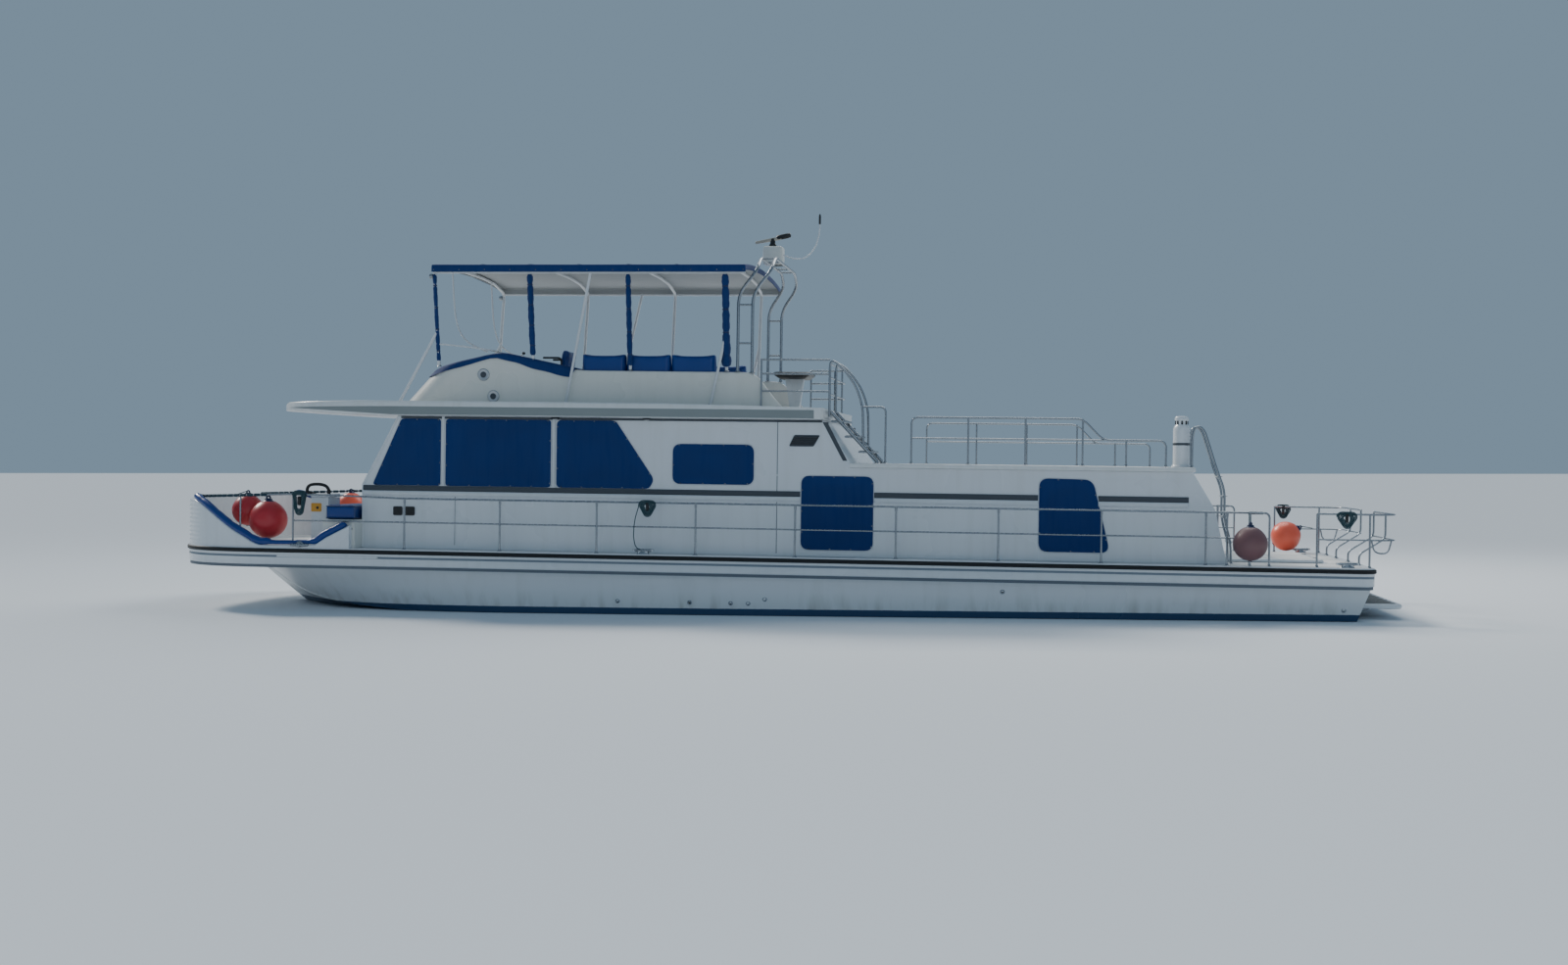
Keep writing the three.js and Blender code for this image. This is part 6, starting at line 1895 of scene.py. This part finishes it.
def build_rudders():
    _, chine_half, chine, keel = curve_through(STATIONS, -7.57)
    top = afloat(-7.57, keel + (chine - keel) * PROP_Y / chine_half) - 0.06
    section = ((0, 0.15), (0.04, 0.6), (0.15, 1), (0.35, 0.95), (0.7, 0.5), (1, 0.08))
    rings = []
    for i in range(9):
        z = top - 0.47 * i / 8
        fore, aft = RUDDER_X + 0.09 - 0.02 * i / 8, RUDDER_X - 0.23 + 0.04 * i / 8
        half = [(fore + (aft - fore) * share, 0.014 * thick) for share, thick in section]
        rings.append([(x, PROP_Y + y, z) for x, y in half] + [(x, PROP_Y - y, z) for x, y in reversed(half)])
    shape = shaped(loft(rings))
    shape.add(turned([(0.018, -0.10), (0.018, 0.088)], (RUDDER_X, PROP_Y, top), sides=16), 1)
    pair("rudder_blade_", shape, [BRONZE, STEEL], "bronze", "rudder_", "rudder_", smooth=50)


def build_engines():
    floor, finishes = 0.04, [ENGINE, BLACK, STEEL, DARK_TRIM_AND_SHADE]
    for side, word in SIDES:
        y = side * 0.63
        shape = shaped(block((-6.96, y - 0.17, floor + 0.10), (-6.36, y + 0.17, 0.50)))
        shape.add(block((-6.99, y - 0.12, 0.20), (-6.90, y + 0.12, 0.46)), 1)
        for way in (1, -1):
            cover = ((0.06, 0.47), (0.16, 0.50), (0.26, 0.43), (0.27, 0.36), (0.15, 0.34))
            shape.add(plate([(y + way * a, z) for a, z in cover], -6.90, -6.42, "YZ"))
            for x in (-6.84, -6.72, -6.60, -6.48):
                plug = [(0.022, 0), (0.022, 0.03), (0.012, 0.04)]
                shape.add(turned(plug, (x, y + way * 0.215, 0.465), (0, way * 0.5, 1), 10), 1)
                lead = [(x, y + way * 0.22, 0.50), (x + 0.01, y + way * 0.17, 0.55), (-6.63, y + way * 0.05, 0.575)]
                shape.add(bent(lead, 0.006, 0.03, 6), 1)
            shape.add(pipe([(-6.90, y + way * 0.295, 0.33), (-6.42, y + way * 0.295, 0.33)], 0.034, 14), 2)
        cap = [(0.11, 0.50), (0.115, 0.53), (0.115, 0.585), (0.09, 0.60), (0.02, 0.612)]
        shape.add(turned(cap, (-6.63, y, 0), sides=28), 1)
        for r, off, z in ((0.10, 0, 0.24), (0.07, 0, 0.36), (0.05, 0.1, 0.45)):
            shape.add(turned([(r, -0.010), (r * 0.9, 0), (r, 0.010)], (-6.34, y + off, z), (1, 0, 0)), 1)
        shape.add(turned([(0.13, 0), (0.14, 0.02), (0.14, 0.08), (0.12, 0.10)], (-6.30, y, 0.27), (1, 0, 0)), 2)
        for x in (-6.90, -6.30):
            for way in (1, -1):
                at = y + way * 0.23
                shape.add(block((x - 0.04, at - 0.05, floor + 0.078), (x + 0.04, at + 0.05, floor + 0.13)), 1)
                at = y + way * 0.205
                shape.add(block((x - 0.02, at - 0.045, floor + 0.12), (x + 0.02, at + 0.045, floor + 0.155)), 2)
            shape.add(block((x - 0.05, min(0, side), floor + CLEAR), (x + 0.05, max(0, side), floor + 0.08)), 3)
        piece("engine_" + word, shape, finishes, "engine", replaces=["engines"] if side > 0 else (), bevel=0.008)


def build_hatch():
    low, high = DECK + 0.005, DECK + 0.045
    line = rounded_outline(oblong(-7.17, -1.07, -6.03, 1.07), 0.06)
    rows = ((0.008, low), (0, low + 0.006), (0, high - 0.016), (0.005, high - 0.005), (0.016, high))
    shape = shaped(stepped(line, rows))
    rows = ((0, high - 0.001), (0, high + 0.0012), (0.003, high + 0.002))
    for x0, x1 in ((-7.11, -6.62), (-6.58, -6.09)):
        for y0, y1 in ((-1.01, -0.03), (0.03, 1.01)):
            shape.add(stepped(rounded_outline(oblong(x0, y0, x1, y1), 0.05), rows), 1)
    for y in (-0.5, 0.5):
        plate_ring = [(0.035, 0), (0.035, 0.003), (0.020, 0.004)]
        shape.add(turned(plate_ring, (-7.135, y, high - 0.001), sides=20), 2)
        shape.add(loop(circle((-7.135, y, high + 0.005), 0.022, 24), 0.003, UP), 2)
    piece("hatch_lid", shape, [GEL, TREAD, STEEL], "gelcoat", body="engine_hatch", replaces=["engine_hatch"])


# Fenders and their lines

def rope_tube(name, route, radius, sides=8):
    """A rope mesh along the route, mapped along its length and around it."""
    points, faces = pipe(route, radius, sides)
    mesh = bpy.data.meshes.new(name)
    mesh.from_pydata([tuple(LEVEL @ p) for p in points], [], faces)
    mesh.materials.append(ROPE)
    far, lengths = 0.0, []
    for i, p in enumerate(route):
        far += (p - route[i - 1]).length if i else 0
        lengths.append(far)
    layer = mesh.uv_layers.new(name="along")
    for polygon in mesh.polygons:
        corners = [mesh.loops[k].vertex_index for k in polygon.loop_indices]
        wraps = len(corners) == 4 and {c % sides for c in corners} == {0, sides - 1}
        for k, c in zip(polygon.loop_indices, corners):
            around = c % sides or (sides if wraps else 0)
            layer.data[k].uv = (lengths[c // sides], around / sides)
    mesh.shade_smooth()
    return riding(new_object(name, mesh), "rope"), far


def fender_shape(centre, r, neck):
    """A ball blown slightly longer towards its ribbed neck, which ends in a ring."""
    neck = Vector(neck).normalized()
    profile = []
    for i in range(25):
        t = math.pi * (i / 24 - 0.5)
        stretch = 1.0 + 0.05 * max(math.sin(t), 0) ** 3
        wide = r * math.cos(t) * (1 - 0.05 * max(math.sin(t), 0) ** 2)
        profile.append((max(wide, 0.001), r * 0.985 * math.sin(t) * stretch))
    shape = Shape().add(turned(profile[:-3], centre, neck, 40), 0)
    collar = [(0.34, 0.9), (0.33, 0.94), (0.25, 0.985), (0.215, 1), (0.205, 1.03), (0.19, 1.04), (0.205, 1.06),
              (0.19, 1.08), (0.18, 1.1)]
    shape.add(turned([(a * r, b * r) for a, b in collar], centre, neck, 32), 1)
    side = neck.orthogonal().normalized()
    middle = Vector(centre) + neck * (r * 1.15)
    ring = [middle + neck * (r * 0.085 * math.sin(a)) + side * (r * 0.095 * math.cos(a)) for a in ring_angles(28)]
    shape.add(loop(ring, r * 0.05, neck.cross(side), 10), 1)
    shape.add(turned([(r * 0.12, -r * 1.012), (r * 0.115, -r * 0.99), (r * 0.09, -r * 0.97)], centre, neck, 20), 1)
    return shape


LINE_R = 0.006
FENDERS = [
    # name, centre, radius, neck, upper end of its line, finish
    # the port bow fenders take the fender red in painted shade
    ("bow_fender_near", (6.290, 1.735, 1.085), 0.248, (0, 0, 1), (6.295, 1.990, 1.400), SHADED_RED),
    ("bow_fender_fore", (6.63, 1.59, 1.200), 0.205, (0, 0, 1), (6.70, 1.930, 1.388), SHADED_RED),
    ("bow_fender_far", (6.43, -1.62, 1.185), 0.205, (0, 0, 1), (6.43, -1.985, 1.398), RED),
    ("aft_fender_port", (-6.135, 2.29, 1.022), 0.205, (0, 0, 1), (-6.135, 2.062, 1.388), MAROON),
    ("aft_fender_starboard", (-7.065, -1.79, 0.981), 0.205, (-0.83, 0, 0.56), (-7.46, -RAIL_Y, 1.092), RED),
]


def build_fenders():
    for name, centre, r, neck, top, color in FENDERS:
        own = [name] if name in frame["nodes"] else []
        piece(name + "_ball", fender_shape(centre, r, neck), [color, BLUE_END], "buoy", replaces=own, smooth=50)
        low = Vector(centre) + Vector(neck).normalized() * (r * 1.235)
        line = [low.lerp(Vector(top), i / 14) for i in range(15)]
        obj, far = rope_tube(name + "_line", line, LINE_R)


# Dock lines, coiled and hung on the rails

COIL_PITCH = 0.0124
COIL_INNER = 0.0242
LAYERS = (0.021, 0.0336)
FRONT_DROP = 0.02


def hank_turns(shape, radii):
    """Turns laid side by side round a small triangle that stands on its tip, largest first."""
    wide, deep = shape
    slope = math.atan2(wide, deep)
    right, left, tip = (wide, 0), (-wide, 0), (0, -deep)
    quarter = math.pi / 2
    stops = [(right, quarter * i / 4) for i in range(5)]
    stops += [(left, quarter + (quarter + slope) * i / 6) for i in range(7)]
    stops += [(tip, 2 * quarter + slope + (2 * quarter - 2 * slope) * i / 7) for i in range(8)]
    stops += [(right, 4 * quarter - slope + slope * i / 2) for i in range(2)]
    route = []
    first, turns = radii
    for k in range(turns * len(stops) + 1):
        (x, z), a = stops[k % len(stops)]
        r = first - COIL_PITCH * k / len(stops)
        route.append((x + r * math.cos(a), z + r * math.sin(a)))
    return route


TAIL = [
    # x, distance outside the rail, z, from the cleat up to the coil
    (1.280, 0.0300, 0.808), (1.318, 0.0320, 0.815), (1.350, 0.0336, 0.860), (1.368, 0.0330, 0.960),
    (1.366, 0.0310, 1.080), (1.350, 0.0270, 1.200), (1.328, 0.0225, 1.280), (1.3140, 0.0210, 1.330),
]
DOCK_LINES = [
    # name, x, side, height of its top, half width and depth of the triangles under the two layers
    ("dock_line_bow", 5.74, 1, 1.475, (0.036, 0.200), (0.006, 0.130)),
    ("dock_line_middle", 1.20, 1, 1.420, (0.050, 0.090), (0.006, 0.030)),
    ("dock_line_stern", -7.28, 1, 1.415, (0.060, 0.085), (0.010, 0.030)),
    ("dock_line_starboard", -7.06, -1, 1.415, (0.045, 0.080), (0.006, 0.030)),
]


def build_dock_lines():
    outer, inner = COIL_INNER + 3 * COIL_PITCH, COIL_INNER + 4 * COIL_PITCH
    for name, x, side, top, back_shape, front_shape in DOCK_LINES:
        near, far_layer = LAYERS
        z = top - outer
        coil = [Vector((x + a, side * (RAIL_Y + near), z + b)) for a, b in hank_turns(back_shape, (outer, 3))]
        front = hank_turns(front_shape, (inner, 4))[1:]
        for k, (a, b) in enumerate(front):
            out = near + (far_layer - near) * min((k + 1) / 6, 1)
            coil.append(Vector((x + a, side * (RAIL_Y + out), z - FRONT_DROP + b)))
        tail = []
        if name == "dock_line_middle":
            tail = rounded([Vector((a, RAIL_Y + b, c)) for a, b, c in TAIL], 0.03, 4)
        route = tail + coil
        obj, far = rope_tube(name + "_coil", route, LINE_R)
        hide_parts(name)
        strap = Shape()
        out = side * (RAIL_Y + LAYERS[1] + 0.0075)
        y, back = side * RAIL_Y, side * (RAIL_Y - 0.0145)
        loop_line = [Vector((x, at, z)) for at, z in (
            (back, 1.398), (y, 1.402), (out, 1.392), (out, 1.29), (y, 1.282), (back, 1.31))]
        strap.add(loop(rounded_outline(loop_line, 0.012, 4), 0.0016, Vector((1, 0, 0)), 8, 10.5))
        tie = piece(name + "_strap", strap, BLACK, "rope", smooth=60)
    for side, word in SIDES:
        line = [LEVEL @ p for p in bow_rail_line(side)[:-6]]
        repeated("rail_wrapping_" + word, [line], 0.092, ROPE_TAPE, foot=0.0205, top=0.0195,
                 height=0.074, follow=True)


for build in (
    build_hull, build_deck_edge, build_treads, build_platform, build_bulwark, build_bolsters, build_bow_seat,
    build_locker, build_covers, build_cabin_trim, build_doors, build_roofs, build_cowl, build_coaming_cover,
    build_console, build_wheel, build_helm_seat, build_lounges, build_table, build_canopy, build_frame,
    build_sleeves, build_arch, build_fly_rail, build_stair, build_sundeck, build_ladder, build_side_rails,
    build_stern_rails, build_propellers, build_rudders, build_engines, build_hatch, build_fenders,
    build_dock_lines,
):
    build()


# Camera, floor and light

PHOTO_WIDTH = 1600
FOCAL_PIXELS = 1925
EYE = Vector((-3.63, 25.18, 1.86))
HEADING = math.radians(7.61)
PITCH = math.radians(-0.49)


def make_camera():
    data = bpy.data.cameras.new("camera")
    data.sensor_width = 36
    data.lens = 36 * FOCAL_PIXELS / PHOTO_WIDTH
    data.clip_end = 1500
    camera = new_object("camera", data)
    level = math.cos(PITCH)
    ahead = Vector((math.sin(HEADING) * level, -math.cos(HEADING) * level, math.sin(PITCH)))
    camera.location = EYE
    camera.rotation_euler = ahead.to_track_quat("-Z", "Y").to_euler()
    bpy.context.scene.camera = camera


def make_stage():
    mesh = bpy.data.meshes.new("floor")
    far = 460
    mesh.from_pydata([(-far, -far, 0), (far, -far, 0), (far, far, 0), (-far, far, 0)], [], [(0, 1, 2, 3)])
    floor = new_object("floor", mesh)
    made = Finish("floor", (0.76, 0.80, 0.84), 0.95)
    made.set("Specular IOR Level", 0.05)
    mesh.materials.append(made.material)
    world = bpy.data.worlds.new("studio")
    world.use_nodes = True
    back = world.node_tree.nodes["Background"]
    back.inputs["Color"].default_value = (0.50, 0.72, 0.95, 1)
    back.inputs["Strength"].default_value = 0.38
    bpy.context.scene.world = world


LIGHTS = [
    # name, place, aimed at, size, watts, colour
    ("top", (-4, -9, 15), (0, 0, 2.0), 14, 1600, (1.0, 0.98, 0.94)),
    ("fill", (-6, 24, 9), (0, 0, 1.2), 14, 250, (0.80, 0.90, 1.0)),
]


def make_lights():
    sun = bpy.data.lights.new("sun", "SUN")
    sun.energy, sun.angle, sun.color = 2.4, math.radians(14), (1.0, 0.95, 0.87)
    lamp = new_object("sun", sun)
    lamp.rotation_euler = Vector((-20, 15, -19)).to_track_quat("-Z", "Y").to_euler()
    for name, place, target, size, watts, color in LIGHTS:
        data = bpy.data.lights.new(name, "AREA")
        data.shape, data.size, data.energy, data.color = "DISK", size, watts, color
        lamp = new_object(name, data)
        lamp.location = place
        lamp.rotation_euler = (Vector(target) - lamp.location).to_track_quat("-Z", "Y").to_euler()


make_camera()
make_stage()
make_lights()
